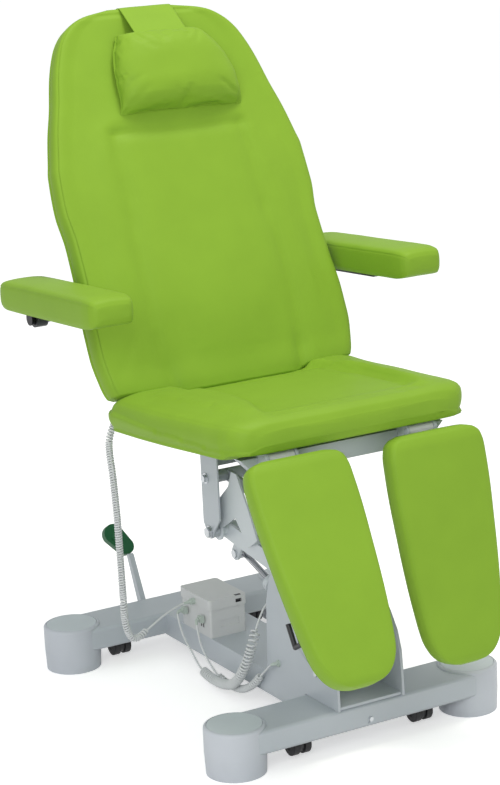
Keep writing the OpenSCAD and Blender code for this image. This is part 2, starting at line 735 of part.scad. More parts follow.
module pedal_lever() {
    color(grey) place() translate([pedal_x, 0, 0]) difference() {
        union() {
            side_plate(-pedal_lever_w / 2, pedal_lever_w) link2d(pedal_hinge, pedal_foot, pedal_lever_t * 0.8, pedal_lever_t / 2);
        }
        cross_rod(pedal_hinge, pedal_pin_r + fit, pedal_lever_w);
    }
}

module pedal_pad() {
    color([0.05, 0.38, 0.2]) place() translate(pedal_at) rotate([pedal_angle, 0, 0]) rotate([0, 0, 32]) difference() {
        translate([0, 0, -pedal_thick / 2]) linear_extrude(pedal_thick)
            link2d([0, pedal_l / 2 - pedal_w / 2], [0, -pedal_l / 2 + 0.42 * pedal_w], pedal_w / 2, 0.42 * pedal_w);
        translate([-pedal_w / 3, -pedal_l / 5, pedal_thick / 2 - cut]) cube([pedal_w / 12, pedal_l / 2.5, 2 * cut]);
    }
}

// Lift

module cheek() {
    difference() {
        union() {
            polygon([for (s = cheek_shares) carrier_low + arm_run * s]);
            translate(carrier_low) circle(cheek_boss);
        }
        translate(carrier_low) circle(pin_r + fit);
    }
}

module lift_arm() {
    color(grey_light) place() difference() {
        union() {
            both_sides() {
                side_plate(bar_x, bar_t) link2d(arm_pivot, carrier_low, bar_r, bar_r);
                side_plate(cheek_x, cheek_t) cheek();
                side_plate(lug_x, lug_t) link2d(carrier_low, rod_at, lug_r, lug_r);
                cross_stub(carrier_low, lug_r, lug_x, cheek_x + cheek_t);
            }
            cross_rod(carrier_low, lug_r, lug_x);
            cross_rod(arm_tube_at, arm_tube_r, cheek_x + cheek_t);
        }
        cross_rod(carrier_low, pin_r + fit, 2 * cheek_x);
        cross_rod(arm_pivot, pin_r + fit, 2 * cheek_x);
        cross_rod(rod_at, actuator_pin_r, 2 * cheek_x);
    }
}

module rod_pin() {
    color(grey_light) place() {
        cross_rod(rod_at, actuator_pin_r, lug_x + lug_t + washer_t);
        cross_stub(rod_at, 1.5 * actuator_pin_r, -lug_x - lug_t - 2 * washer_t, -lug_x - lug_t);
        cross_stub(rod_at, 1.5 * actuator_pin_r, lug_x + lug_t, lug_x + lug_t + 2 * washer_t);
    }
}

// Frame along the lift actuator, from its lower eye
module on_actuator() {
    translate([0, actuator_at[0], actuator_at[1]]) rotate([rod_angle, 0, 0]) children();
}

module lift_rod() {
    color(grey_light) place() difference() {
        union() {
            on_actuator() translate([0, rod_len / 2, 0]) rotate([-90, 0, 0]) cylinder(r = rod_r, h = rod_len / 2);
            cross_rod(rod_at, 2 * actuator_pin_r, eye_w / 2);
        }
        cross_rod(rod_at, actuator_pin_r + fit, eye_w);
    }
}

module lift_actuator() {
    color(grey_light) place() difference() {
        union() {
            on_actuator() {
                translate([0, gear_l / 2, 0]) rotate([-90, 0, 0]) cylinder(r = tube_r, h = tube_end - gear_l / 2);
                translate([0, tube_end - cap_l, 0]) rotate([-90, 0, 0]) cylinder(r = tube_r + cap_proud, h = cap_l);
                translate([-gear_w / 2 + motor_x / 2 + cap_proud, 2.5 * actuator_pin_r, -gear_h / 2]) cube([gear_w, gear_l, gear_h]);
                translate([-stub_out, stub_at, 0]) rotate([0, 90, 0]) cylinder(r = stub_r, h = stub_out);
                translate([motor_x, gear_l, 0]) rotate([-90, 0, 0]) cylinder(r = motor_r, h = motor_l);
                translate([-eye_w / 2, 0, -2 * actuator_pin_r]) cube([eye_w, gear_l / 2, 4 * actuator_pin_r]);
            }
            cross_rod(actuator_at, 2 * actuator_pin_r, eye_w / 2);
        }
        cross_rod(actuator_at, actuator_pin_r + fit, eye_w);
        on_actuator() translate([0, rod_len / 2 - 2 * cap_l, 0]) rotate([-90, 0, 0])
            cylinder(r = rod_r + tube_play, h = tube_end);
    }
}

module lift_link() {
    color(grey) place() difference() {
        union() {
            both_sides() side_plate(link_x, bar_t) link2d(link_pivot, carrier_high, link_r, link_r);
            cross_rod(link_pivot, link_r, link_x + cut);
            cross_rod(carrier_high, link_r, link_x + cut);
        }
        cross_rod(link_pivot, pin_r + fit, 2 * link_x);
        cross_rod(carrier_high, pin_r + fit, 2 * link_x);
    }
}

// Carrier and seat

module carrier() {
    color(grey) place() difference() {
        union() {
            both_sides() {
                side_plate(carrier_x, carrier_t) union() {
                    polygon([[carrier_front, carrier_low[1] + 2.4 * carrier_boss], [carrier_low[0] - carrier_boss, carrier_low[1]],
                        [carrier_low[0] + carrier_boss, carrier_low[1]], [carrier_rear, carrier_low[1] + 1.2 * carrier_boss],
                        [carrier_rear, carrier_top], [carrier_front, carrier_top]]);
                    translate(carrier_low) circle(carrier_boss);
                }
                cross_stub(carrier_low, link_r, cheek_x + cheek_t + gap, carrier_x + cut);
                cross_stub(carrier_high, link_r, link_x + bar_t + gap, carrier_x + cut);
                translate([carrier_x, carrier_front, carrier_top - wing_h])
                    cube([rail_x - rail_w / 2 - carrier_x, carrier_rear - carrier_front, wing_h]);
            }
            translate([-carrier_x - cut, carrier_rear - web_t, carrier_high[1] + 1.2 * link_r])
                cube([2 * carrier_x + 2 * cut, web_t, web_h]);
        }
        cross_rod(carrier_low, pin_r, 2 * carrier_x);
        cross_rod(carrier_high, pin_r, 2 * carrier_x);
    }
}

module carrier_bolts() {
    out = carrier_x + carrier_t;
    color(grey_light) place() {
        for (p = [carrier_low, carrier_high]) {
            cross_rod(p, pin_r, out + washer_t);
            both_sides() {
                cross_stub(p, p == carrier_low ? washer_r : bolt_head_r, out, out + washer_t);
                translate([out + washer_t, p[0], p[1]]) rotate([0, 90, 0])
                    cylinder(r = p == carrier_low ? bolt_head_r : pin_r, h = bolt_head_h, $fn = 6);
            }
        }
        both_sides() cross_stub(back_pivot, back_pin_r, rail_x - rail_w / 2 - back_lug_t - 2 * gap - washer_t,
            rail_x - rail_w / 2 + back_lug_t + washer_t);
    }
}

function seat_low(y) = seat_z + (seat_rear - y) * seat_slope;

module rail_profile() {
    polygon([[front_rail_y + front_rail_w / 2, seat_low(front_rail_y) - rail_drop],
        [rail_rear, seat_low(rail_rear) - rail_drop],
        [rail_rear, seat_low(rail_rear) - rail_drop - rail_h],
        [front_rail_y + front_rail_w / 2, seat_low(front_rail_y) - rail_drop - rail_h]]);
}

module seat_frame() {
    inner = rail_x - rail_w / 2;
    color(grey) place() difference() {
        union() {
            both_sides() {
                side_plate(inner, rail_w) rail_profile();
                side_plate(inner, back_lug_t)
                    link2d([back_pivot[0], seat_low(back_pivot[0]) - rail_h], back_pivot, back_lug_r - weld, back_lug_r);
            }
            translate([-inner - cut, seat_rear - cross_w, seat_low(seat_rear) - rail_drop - rail_h - 0.78 * cross_h])
                cube([2 * inner + 2 * cut, cross_w, cross_h]);
            translate([-inner - cut, back_act_at[0] - cross_w / 2, back_bar_low]) cube([2 * inner + 2 * cut, cross_w, back_bar_h]);
            both_sides() side_plate(back_bar_lug_x, back_lug_t)
                link2d([back_act_at[0], back_bar_low + back_bar_h / 2], back_act_at, cross_w / 2, cross_w / 2);
            for (y = [seat_front / 1.6, seat_rear - 1.2 * cross_w]) both_sides()
                translate([rail_x - rail_w / 4, y - cross_w / 2, seat_low(y) - rail_drop - cut])
                    cube([rail_w / 2, cross_w, rail_drop + cut - soft_gap - cross_w * seat_slope / 2]);
        }
        cross_rod(back_pivot, back_pin_r, rail_x + rail_w);
    }
    color(grey_light) place() cross_rod(back_act_at, actuator_pin_r, back_bar_lug_x + back_lug_t + washer_t);
}

module front_rail() {
    low = leg_hinge_z - front_rail_h;
    eye_low = leg_x - leg_eye_in;
    color(grey) place() difference() {
        union() {
            translate([0, front_rail_y + front_rail_w / 2, 0]) rotate([90, 0, 0]) linear_extrude(front_rail_w)
                polygon([[-front_rail_l / 2, leg_hinge_z + soft_gap], [front_rail_l / 2, leg_hinge_z + soft_gap],
                    [front_rail_l / 2, leg_hinge_z], [front_rail_l / 2 - front_rail_h, low],
                    [front_rail_l / 2 - front_rail_h, low], [-front_rail_l / 2 + front_rail_h, low],
                    [-front_rail_l / 2, leg_hinge_z]]);
            both_sides() for (x = [leg_x - leg_eye_in - leg_eye_t, leg_x + leg_eye_in]) side_plate(x, leg_eye_t)
                link2d([leg_hinge_y, leg_hinge_z], [front_rail_y, leg_hinge_z - leg_eye_r], leg_eye_r, leg_eye_r);
        }
        both_sides() cross_stub([leg_hinge_y, leg_hinge_z], leg_pin_r, eye_low - 2 * leg_eye_t, leg_x + leg_eye_in + 2 * leg_eye_t);
    }
    color(grey_light) place() both_sides()
        cross_stub([leg_hinge_y, leg_hinge_z], leg_pin_r, eye_low - leg_eye_t - cut, leg_x + leg_eye_in + leg_eye_t + cut);
}

module seat_cushion() {
    color(green) place() skin(reversed([for (s = seat_station_shares) let (y = seat_rear - s[0] * seat_l)
        [for (q = seat_section_shares) [q[0] * s[1] * seat_w / 2, y, seat_low(y) + seat_t * (s[3] + filled(q, s[4]) * (s[2] - s[3]))]]]));
}

// Back

// Frame of the back: x across, y to the rear, z up along the back
module on_back() {
    translate([0, back_base[0], back_base[1]]) rotate([-back_lean, 0, 0]) children();
}

module on_back_actuator() {
    translate([0, back_act_at[0], back_act_at[1]]) rotate([back_angle - back_tilt, 0, 0]) children();
}

module back_actuator() {
    color(grey) place() difference() {
        union() {
            on_back_actuator() {
                rotate([-90, 0, 0]) cylinder(r = back_tube_r, h = back_tube_end);
                translate([-back_tube_r - weld, back_tube_r, -back_tube_r - weld])
                    cube([2 * back_tube_r + 2 * weld, 3 * back_tube_r, 2 * back_tube_r + 2 * weld]);
            }
            cross_rod(back_act_at, back_tube_r - 1.5 * weld, back_tube_r);
        }
        cross_rod(back_act_at, actuator_pin_r + fit, eye_w);
        on_back_actuator() translate([0, 4.5 * back_tube_r, 0]) rotate([-90, 0, 0])
            cylinder(r = back_rod_r + back_tube_play, h = back_tube_end);
    }
}

module back_rod() {
    color(grey_light) place() difference() {
        union() {
            translate([0, back_rod_at[0], back_rod_at[1]]) rotate([back_angle - back_tilt, 0, 0])
                translate([0, -0.62 * back_act_l, 0]) rotate([-90, 0, 0])
                cylinder(r = back_rod_r, h = 0.62 * back_act_l);
            cross_rod(back_rod_at, 1.8 * back_rod_r, back_eye_w / 2);
        }
        cross_rod(back_rod_at, actuator_pin_r + fit, back_eye_w);
    }
}

module back_frame() {
    lug = rail_x - rail_w / 2 - back_lug_t - gap;
    rod_b = to_back(back_rod_at);
    color(grey) place() on_back() difference() {
        union() {
            both_sides() {
                translate([upright_x - upright_w / 2, upright_y, back_hinge[1]]) cube([upright_w, upright_d, upright_top - back_hinge[1]]);
                side_plate(lug, back_lug_t) link2d(back_hinge, [upright_y + upright_d / 2, back_hinge[1] + 2 * upright_d], back_lug_r, upright_d / 2);
                side_plate(upright_x - upright_w / 2, bracket_t)
                    link2d(armrest_hinge_b, [upright_y + upright_d / 2, armrest_hinge_b[1]], bracket_r, upright_d / 2);
                side_plate(back_eye_w / 2 + gap, bracket_t) link2d(rod_b, back_hinge, 1.9 * back_rod_r, back_lug_r);
                cross_stub(back_hinge, back_lug_r - weld, back_eye_w / 2 + gap, lug + cut);
            }
            for (z = [0.2 * back_l, 0.7 * back_l])
                translate([-upright_x, upright_y, z]) cube([2 * upright_x, upright_d, upright_d]);
        }
        cross_rod(armrest_hinge_b, armrest_tube_r, 2 * upright_x);
        cross_rod(rod_b, actuator_pin_r, 2 * back_eye_w);
        both_sides() cross_stub(back_hinge, back_pin_r + fit, lug - back_lug_r, lug + back_lug_r);
    }
    color(grey_light) place() on_back() cross_rod(rod_b, actuator_pin_r, back_eye_w / 2 + gap + bracket_t + cut);
}

module back_cushion() {
    color(green) place() on_back() skin([for (s = back_outline_shares) let (z = s[0] * back_l,
        t = back_t * lookup(s[0], back_thick_shares))
        [for (q = back_section_shares) [q[0] * s[1] * back_w / 2, back_t - q[1] * t, z]]]);
}

pillow_low = 512;
flap_x = -50;
flap_w = 120;
flap_t = 1.6;
// Inner line of the flap over the top of the back: depth and height, in the back's frame
flap_line = [[-0.43 * pillow_t, pillow_low + 0.93 * pillow_h], [0.32 * back_t, back_l - 5], [0.5 * back_t, back_l + 1],
    [0.8 * back_t, back_l + 1.5], [back_t + 0.6, back_l], [back_t + 0.6, back_l - 64]];

module head_pillow() {
    front = back_t - back_t * 0.86;
    color(green) place() on_back() {
        skin([for (s = pillow_station_shares) let (z = pillow_low + s[0] * pillow_h)
            [for (q = pillow_section_shares) [s[1] * pillow_w + q[0] * s[2] * pillow_w / 2, front - soft_gap - q[1] * s[3] * pillow_t, z]]]);
        side_plate(flap_x, flap_w) difference() {
            offset(delta = flap_t) polygon(flap_line);
            polygon(flap_line);
            polygon([flap_line[0], flap_line[5], flap_line[5] - [0, 4 * flap_t], flap_line[0] - [0, 4 * flap_t]]);
        }
    }
}

module armrest_tube() {
    color(grey) place() cross_rod(armrest_hinge, armrest_tube_r, armrest_x);
    color(black) place() both_sides() cross_stub(armrest_hinge, armrest_tube_r + washer_t, armrest_x, armrest_x + armrest_cap_l);
}

handset_w = 52;
handset_t = 22;
handset_h = 120;
handset_x = -222;
handset_y = back_t + 12;
handset_z = -27;
key_w = 16;
key_h = 24;
key_t = 5;
key_at = 0.62;
clip_in = 0.7;

module handset() {
    color(grey_light) place() on_back() difference() {
        union() {
            translate([handset_x, handset_y + handset_t / 2, handset_z]) linear_extrude(handset_h) rounded2d(handset_w, handset_t, handset_t / 3);
            translate([handset_x - handset_w / 4, back_t - clip_in, handset_z + handset_h / 2])
                cube([handset_w / 2, handset_y - back_t + clip_in + handset_t / 2, handset_h / 4]);
        }
        for (s = [-1, 1]) translate([handset_x + s * handset_w / 4, handset_y + handset_t, handset_z + key_at * handset_h])
            cube([key_w + 2 * gap, 2 * key_t + 2 * gap, key_h + 2 * gap], center = true);
    }
}

module handset_key(s) {
    color(black) place() on_back() translate([handset_x + s * handset_w / 4, handset_y + handset_t, handset_z + key_at * handset_h])
        rotate([90, 0, 90]) linear_extrude(key_w, center = true)
        polygon([[-key_t + gap, -key_h / 5], [-key_t + gap, key_h / 5], [key_t / 3, key_h / 2 - gap], [0, 0], [key_t / 3, -key_h / 2 + gap]]);
}

module handset_key_up() { handset_key(-1); }
module handset_key_down() { handset_key(1); }

// Armrests

module armrest_arm(s) {
    front = armrest_front + armrest_l / 3;
    low = armrest_low(armrest_hinge[0] + armrest_hub_r);
    color(grey) place() scale([s, 1, 1]) translate([armrest_x - armrest_arm_w - armrest_cap_l / 4, 0, 0]) difference() {
        union() {
            side_plate(0, armrest_arm_w) union() {
                translate(armrest_hinge) circle(armrest_hub_r);
                polygon([[armrest_hinge[0] + armrest_hub_r, armrest_hinge[1]], [armrest_hinge[0] + armrest_hub_r, low - armrest_arm_t],
                    [armrest_hinge[0] + armrest_hub_r, low - soft_gap], [armrest_hinge[0], low - soft_gap],
                    [armrest_hinge[0] - armrest_hub_r, low - armrest_arm_t], [armrest_hinge[0] - armrest_hub_r, armrest_hinge[1]]]);
            }
            side_plate(0, armrest_arm_w) polygon([for (p = [[armrest_hinge[0] + armrest_hub_r, 1], [front, 1], [front, 0], [armrest_hinge[0] + armrest_hub_r, 0]])
                [p[0], armrest_low(p[0]) - soft_gap - (1 - p[1]) * armrest_arm_t]]);
        }
        translate([-cut, armrest_hinge[0], armrest_hinge[1]]) rotate([0, 90, 0]) cylinder(r = armrest_tube_r + fit, h = armrest_arm_w + 2 * cut);
    }
}

function armrest_low(y) = armrest_z - (y - armrest_front) * tan(armrest_slope);

module armrest_pad(s) {
    color(green) place() scale([s, 1, 1]) translate([armrest_x, 0, 0])
        skin(reversed([for (k = armrest_outline_shares) let (y = armrest_front + armrest_l * (1 - k[0]), low = armrest_low(y),
            t = armrest_t * lookup(k[0], armrest_thick_shares), mid = low + armrest_t / 2)
            [for (q = plain_section_shares) [q[0] * k[1] * armrest_w / 2, y, mid - t / 2 + q[1] * t]]]));
}

module armrest_arm_left() { armrest_arm(-1); }
module armrest_arm_right() { armrest_arm(1); }
module armrest_pad_left() { armrest_pad(-1); }
module armrest_pad_right() { armrest_pad(1); }

// Leg rests

// Frame of a leg rest: y to the rear, z up, origin on its hinge
module on_leg(s) {
    translate([0, leg_hinge_y, leg_hinge_z]) rotate([-(s < 0 ? leg_lean_left : leg_lean_right), 0, 0])
        scale([s, 1, 1]) translate([leg_x, 0, 0]) children();
}

leg_tube_y = leg_tube / 2 - leg_pad_gap + soft_gap;

module leg_arm(s) {
    inside = leg_tube - 2 * leg_tube_wall;
    color(grey) place() on_leg(s) difference() {
        union() {
            rotate([0, 90, 0]) cylinder(r = leg_hinge_tube_r, h = 2 * leg_eye_in - 2 * gap, center = true);
            translate([-leg_tube / 2, leg_tube_y - leg_tube / 2, -leg_tube_l])
                cube([leg_tube, leg_tube, leg_tube_l - leg_hinge_tube_r / 2]);
            translate([leg_tube / 2, leg_tube_y + leg_tube / 2 - leg_tube_wall, -leg_lever_at - leg_lever_l / 4])
                cube([leg_lever_l / 3, leg_tube_wall, leg_lever_l / 3]);
            translate([leg_tube / 2 + leg_lever_l / 3 - leg_tube_wall, leg_tube_y + leg_tube / 2 - leg_tube_wall, -leg_lever_at - leg_lever_l / 4])
                cube([leg_tube_wall, leg_lever_l / 3, leg_lever_l / 3]);
        }
        rotate([0, 90, 0]) cylinder(r = leg_pin_r + fit, h = leg_tube * 3, center = true);
        translate([-inside / 2, leg_tube_y - inside / 2, -leg_tube_l - cut]) cube([inside, inside, leg_tube_l - leg_hinge_tube_r - leg_pin_r]);
        translate([0, leg_tube_y, -leg_knob_at]) rotate([0, -90, 0]) cylinder(r = leg_pin_r / 2 + fit, h = leg_tube);
        translate([leg_tube / 2 + leg_lever_l / 3 - 2 * leg_tube_wall, leg_tube_y + leg_tube / 2 + leg_lever_l / 4, -leg_lever_at])
            rotate([0, 90, 0]) cylinder(r = leg_lever_r / 2 + fit, h = 3 * leg_tube_wall);
    }
}

module leg_slide(s) {
    bar = leg_tube - 2 * leg_tube_wall - 2 * leg_slide_play;
    color(grey) place() on_leg(s) union() {
        translate([-bar / 2, leg_tube_y - bar / 2, -leg_slide_end]) cube([bar, bar, leg_slide_end - leg_slide_top]);
        translate([-leg_tube, -leg_pad_gap + soft_gap, -leg_slide_end]) cube([2 * leg_tube, leg_pad_gap + leg_tube_y - bar / 2 - soft_gap + cut, leg_foot_l]);
    }
}

module leg_pad(s) {
    color(green) place() on_leg(s) skin(reversed([for (k = leg_outline_shares) let (t = leg_t * lookup(k[0], leg_thick_shares))
        [for (q = plain_section_shares) [q[0] * k[1] * leg_w / 2, -leg_pad_gap - (leg_t - t) / 4 - q[1] * t, -k[0] * leg_l - leg_pad_start]]]));
}

module leg_knob(s) {
    color(black) place() on_leg(s) translate([0, leg_tube_y, -leg_knob_at]) rotate([0, -90, 0]) {
        translate([0, 0, leg_tube / 2 + gap]) cylinder(r1 = leg_knob_r * 0.7, r2 = leg_knob_r, h = leg_knob_l);
        translate([0, 0, leg_tube / 2 - leg_tube_wall]) cylinder(r = leg_pin_r / 2, h = leg_knob_l);
    }
}

module leg_lever(s) {
    x = leg_tube / 2 + leg_lever_l / 3;
    y = leg_tube_y + leg_tube / 2 + leg_lever_l / 4;
    color(black) place() on_leg(s) translate([x, y, -leg_lever_at]) {
        translate([-1.5 * leg_tube_wall, 0, 0]) rotate([0, 90, 0]) cylinder(r = leg_lever_r / 2, h = 1.5 * leg_tube_wall + gap + leg_lever_r);
        translate([gap + leg_lever_r, 0, 0]) {
            translate([0, 0, -leg_lever_l]) cylinder(r = leg_lever_r, h = leg_lever_l + leg_lever_r);
            translate([0, 0, -leg_lever_l]) rotate([-90, 0, 0]) cylinder(r = leg_lever_r, h = leg_lever_u);
            translate([0, 0, -leg_lever_l]) sphere(r = leg_lever_r);
            translate([0, leg_lever_u, -leg_lever_l]) sphere(r = leg_lever_r);
            translate([0, leg_lever_u, -leg_lever_l]) cylinder(r = leg_lever_r, h = leg_lever_l / 2);
        }
    }
}

module leg_arm_left() { leg_arm(-1); }
module leg_arm_right() { leg_arm(1); }
module leg_slide_left() { leg_slide(-1); }
module leg_slide_right() { leg_slide(1); }
module leg_pad_left() { leg_pad(-1); }
module leg_pad_right() { leg_pad(1); }
module leg_knob_left() { leg_knob(-1); }
module leg_knob_right() { leg_knob(1); }
module leg_lever_left() { leg_lever(-1); }
module leg_lever_right() { leg_lever(1); }

base_frame();
feet();
foot_lids();
pedestal();
lift_pins();
control_box();
box_cover();
box_plugs();
beam_bolts();
pedal_bracket();
cord_hand();
cord_lift();
cord_base();
castor_carriage();
castor_fork_fl();
castor_fork_fr();
castor_fork_rl();
castor_fork_rr();
castor_wheels_fl();
castor_wheels_fr();
castor_wheels_rl();
castor_wheels_rr();
pedal_lever();
pedal_pad();
lift_arm();
rod_pin();
lift_rod();
lift_actuator();
lift_link();
carrier();
carrier_bolts();
seat_frame();
front_rail();
seat_cushion();
back_actuator();
back_rod();
back_frame();
back_cushion();
head_pillow();
armrest_tube();
handset();
handset_key_up();
handset_key_down();
armrest_arm_left();
armrest_arm_right();
armrest_pad_left();
armrest_pad_right();
leg_arm_left();
leg_arm_right();
leg_slide_left();
leg_slide_right();
leg_pad_left();
leg_pad_right();
leg_knob_left();
leg_knob_right();
leg_lever_left();
leg_lever_right();
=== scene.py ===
"""Podiatry chair: cushions, pillow, cords, finishes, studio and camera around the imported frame."""

import math

import bpy
import numpy as np
from mathutils import Matrix, Vector


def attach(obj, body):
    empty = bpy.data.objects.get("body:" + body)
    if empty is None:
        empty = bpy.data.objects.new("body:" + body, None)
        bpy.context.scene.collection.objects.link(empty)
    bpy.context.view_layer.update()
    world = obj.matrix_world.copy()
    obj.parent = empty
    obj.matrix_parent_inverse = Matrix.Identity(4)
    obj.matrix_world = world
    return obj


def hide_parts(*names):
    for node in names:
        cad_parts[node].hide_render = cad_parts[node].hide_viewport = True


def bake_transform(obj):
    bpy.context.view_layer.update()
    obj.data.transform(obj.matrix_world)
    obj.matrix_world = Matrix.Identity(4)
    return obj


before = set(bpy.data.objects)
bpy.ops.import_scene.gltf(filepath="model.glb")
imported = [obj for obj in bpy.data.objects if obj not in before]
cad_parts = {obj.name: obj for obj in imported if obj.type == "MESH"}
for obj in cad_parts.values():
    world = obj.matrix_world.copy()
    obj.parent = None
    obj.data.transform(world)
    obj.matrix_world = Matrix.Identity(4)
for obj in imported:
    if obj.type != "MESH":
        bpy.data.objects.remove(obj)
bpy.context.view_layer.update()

MM = 0.001
# The drawing's middle lies this far behind the row frame's origin, in millimetres
SHIFT = np.array([0, 57.0, 0])


# Places and curves


def row(points):
    """Millimetres of the drawing as metres of the row frame: (p + shift) / 1000."""
    return (np.asarray(points, float) + SHIFT) * MM


def shares(table, t):
    """Smooth columns of a table at t: cubic Hermite spans whose slope is the harmonic mean of the
    two neighbours."""
    table = np.asarray(table, float)
    x, y = table[:, 0], table[:, 1:]
    step = np.diff(x)
    rise = np.diff(y, axis=0) / step[:, None]
    slope = np.vstack([rise[:1], np.zeros((len(x) - 2, y.shape[1])), rise[-1:]])
    before, after = rise[:-1], rise[1:]
    same = before * after > 0
    total = np.where(same, before + after, 1)
    slope[1:-1] = np.where(same, 2 * before * after / total, 0)
    t = np.clip(np.asarray(t, float), x[0], x[-1])
    i = np.clip(np.searchsorted(x, t, side="right") - 1, 0, len(x) - 2)
    h = step[i][:, None]
    u = ((t - x[i]) / step[i])[:, None]
    return (
        (2 * u**3 - 3 * u**2 + 1) * y[i]
        + (u**3 - 2 * u**2 + u) * h * slope[i]
        + (3 * u**2 - 2 * u**3) * y[i + 1]
        + (u**3 - u**2) * h * slope[i + 1]
    )


def closed_ring(points, per_span):
    """Closed Catmull-Rom curve through the points, per_span places to each span."""
    p = np.asarray(points, float)
    before, after, second = np.roll(p, 1, 0), np.roll(p, -1, 0), np.roll(p, -2, 0)
    u = (np.arange(per_span) / per_span)[None, :, None]
    a, b, c, d = (q[:, None, :] for q in (before, p, after, second))
    ring = 0.5 * (
        2 * b + (c - a) * u + (2 * a - 5 * b + 4 * c - d) * u**2 + (3 * b - a - 3 * c + d) * u**3
    )
    return ring.reshape(-1, p.shape[1])


def crowded(count):
    """count shares from 0 to 1 that crowd toward both ends: (1 - cos(pi k / (count - 1))) / 2."""
    return 0.5 - 0.5 * np.cos(np.pi * np.arange(count) / (count - 1))


def step_up(x, low, high):
    """Smooth step from 0 at low to 1 at high: 3 u^2 - 2 u^3."""
    u = np.clip((x - low) / (high - low), 0, 1)
    return u * u * (3 - 2 * u)


def off_line(points, line):
    """Distance of each 2D point from a broken line: the least over its segments."""
    line = np.asarray(line, float)
    a, d = line[:-1], np.diff(line, axis=0)
    rel = points[..., None, :] - a
    t = np.clip((rel * d).sum(-1) / (d * d).sum(-1), 0, 1)
    return np.linalg.norm(rel - t[..., None] * d, axis=-1).min(-1)


def hump(distance, width):
    """Bell of a distance: exp(-(d / width)^2)."""
    return np.exp(-((distance / width) ** 2))


def noise_field(points, size, seed):
    """Soft noise from -1 to 1: a mean of eight plane waves of about that size, each its own way."""
    rng = np.random.RandomState(seed)
    waves = rng.normal(size=(8, points.shape[-1]))
    scale = (2 * np.pi / size) * rng.uniform(0.6, 1.4, (8, 1))
    waves *= scale / np.linalg.norm(waves, axis=1, keepdims=True)
    return np.sin(points @ waves.T + rng.uniform(0, 2 * np.pi, 8)).mean(-1)


# Meshes


def mesh_piece(name, points, faces, material, smooth=True):
    """Object at the origin with a mesh in the row frame, metres, faces turned outward by the sign
    of its volume."""
    mesh = bpy.data.meshes.new(name)
    points = np.asarray(points, float)
    tri = np.array([f[:3] for f in faces])
    a, b, c = points[tri[:, 0]], points[tri[:, 1]], points[tri[:, 2]]
    middle = points.mean(0)
    volume = np.einsum("ij,ij->i", a - middle, np.cross(b - middle, c - middle)).sum()
    if volume < 0:
        faces = [f[::-1] for f in faces]
    mesh.from_pydata(points.tolist(), [], [list(map(int, f)) for f in faces])
    mesh.polygons.foreach_set("use_smooth", [smooth] * len(mesh.polygons))
    mesh.materials.append(material)
    mesh.update()
    piece = bpy.data.objects.new(name, mesh)
    bpy.context.scene.collection.objects.link(piece)
    return piece


def grid_faces(m, n):
    """Quads of a skin of m rings of n points each, closed around each ring."""
    i, j = np.meshgrid(np.arange(m - 1), np.arange(n), indexing="ij")
    k = (j + 1) % n
    return np.stack([i * n + j, i * n + k, (i + 1) * n + k, (i + 1) * n + j], -1).reshape(-1, 4)


def capped(rings, bulge):
    """Rings with three smaller ones and a middle point added at both ends: c + (p - c) k, pushed
    out by bulge (1 - k^2)."""
    out = []
    for ring, inner in ((rings[0], rings[1]), (rings[-1], rings[-2])):
        c = ring.mean(0)
        towards = c - inner.mean(0)
        d = towards / (np.linalg.norm(towards) + 1e-9)
        out.append([c + (ring - c) * k + d * bulge * (1 - k * k) for k in (0.86, 0.62, 0.32)])
        out.append(c + d * bulge)
    return np.array(out[0])[::-1], out[1], np.array(out[2]), out[3]


def loft(name, rings, material, bulge=2.0):
    """Closed skin through the rings (m, n, 3) of the drawing, with softly capped ends."""
    start, first, end, last = capped(rings, bulge)
    rings = np.concatenate([start, rings, end])
    m, n = rings.shape[:2]
    points = np.vstack([rings.reshape(-1, 3), first, last])
    faces = [tuple(f) for f in grid_faces(m, n)]
    j = np.arange(n)
    k = (j + 1) % n
    faces += [(m * n, b, a) for a, b in zip(j, k)]
    faces += [(m * n + 1, (m - 1) * n + a, (m - 1) * n + b) for a, b in zip(j, k)]
    return mesh_piece(name, row(points), faces, material)


def tube(name, line, radius, material, sides=10):
    """Round tube along a line of the drawing: rings q + r (cos a e1 + sin a e2) in a frame carried
    along without twist."""
    line = np.asarray(line, float)
    t = np.gradient(line, axis=0)
    t /= np.linalg.norm(t, axis=1, keepdims=True)
    e = np.cross(t[0], [0.3, 0.5, 0.81])
    frames = []
    for d in t:
        e = e - d * (e @ d)
        e /= np.linalg.norm(e)
        frames.append(e)
    e1 = np.array(frames)
    e2 = np.cross(t, e1)
    a = 2 * np.pi * np.arange(sides) / sides
    r = np.broadcast_to(radius, (len(line),))[:, None, None]
    cos, sin = np.cos(a)[None, :, None], np.sin(a)[None, :, None]
    rings = line[:, None] + r * (cos * e1[:, None] + sin * e2[:, None])
    m, n = rings.shape[:2]
    faces = [tuple(f) for f in grid_faces(m, n)]
    faces += [tuple(range(n))[::-1], tuple((m - 1) * n + np.arange(n))]
    return mesh_piece(name, row(rings.reshape(-1, 3)), faces, material)


# Finishes


def linear(r, g, b):
    """Colour of 0 to 255 as linear light."""
    c = np.array([r, g, b]) / 255
    return tuple(np.where(c <= 0.04045, c / 12.92, ((c + 0.055) / 1.055) ** 2.4)) + (1.0,)


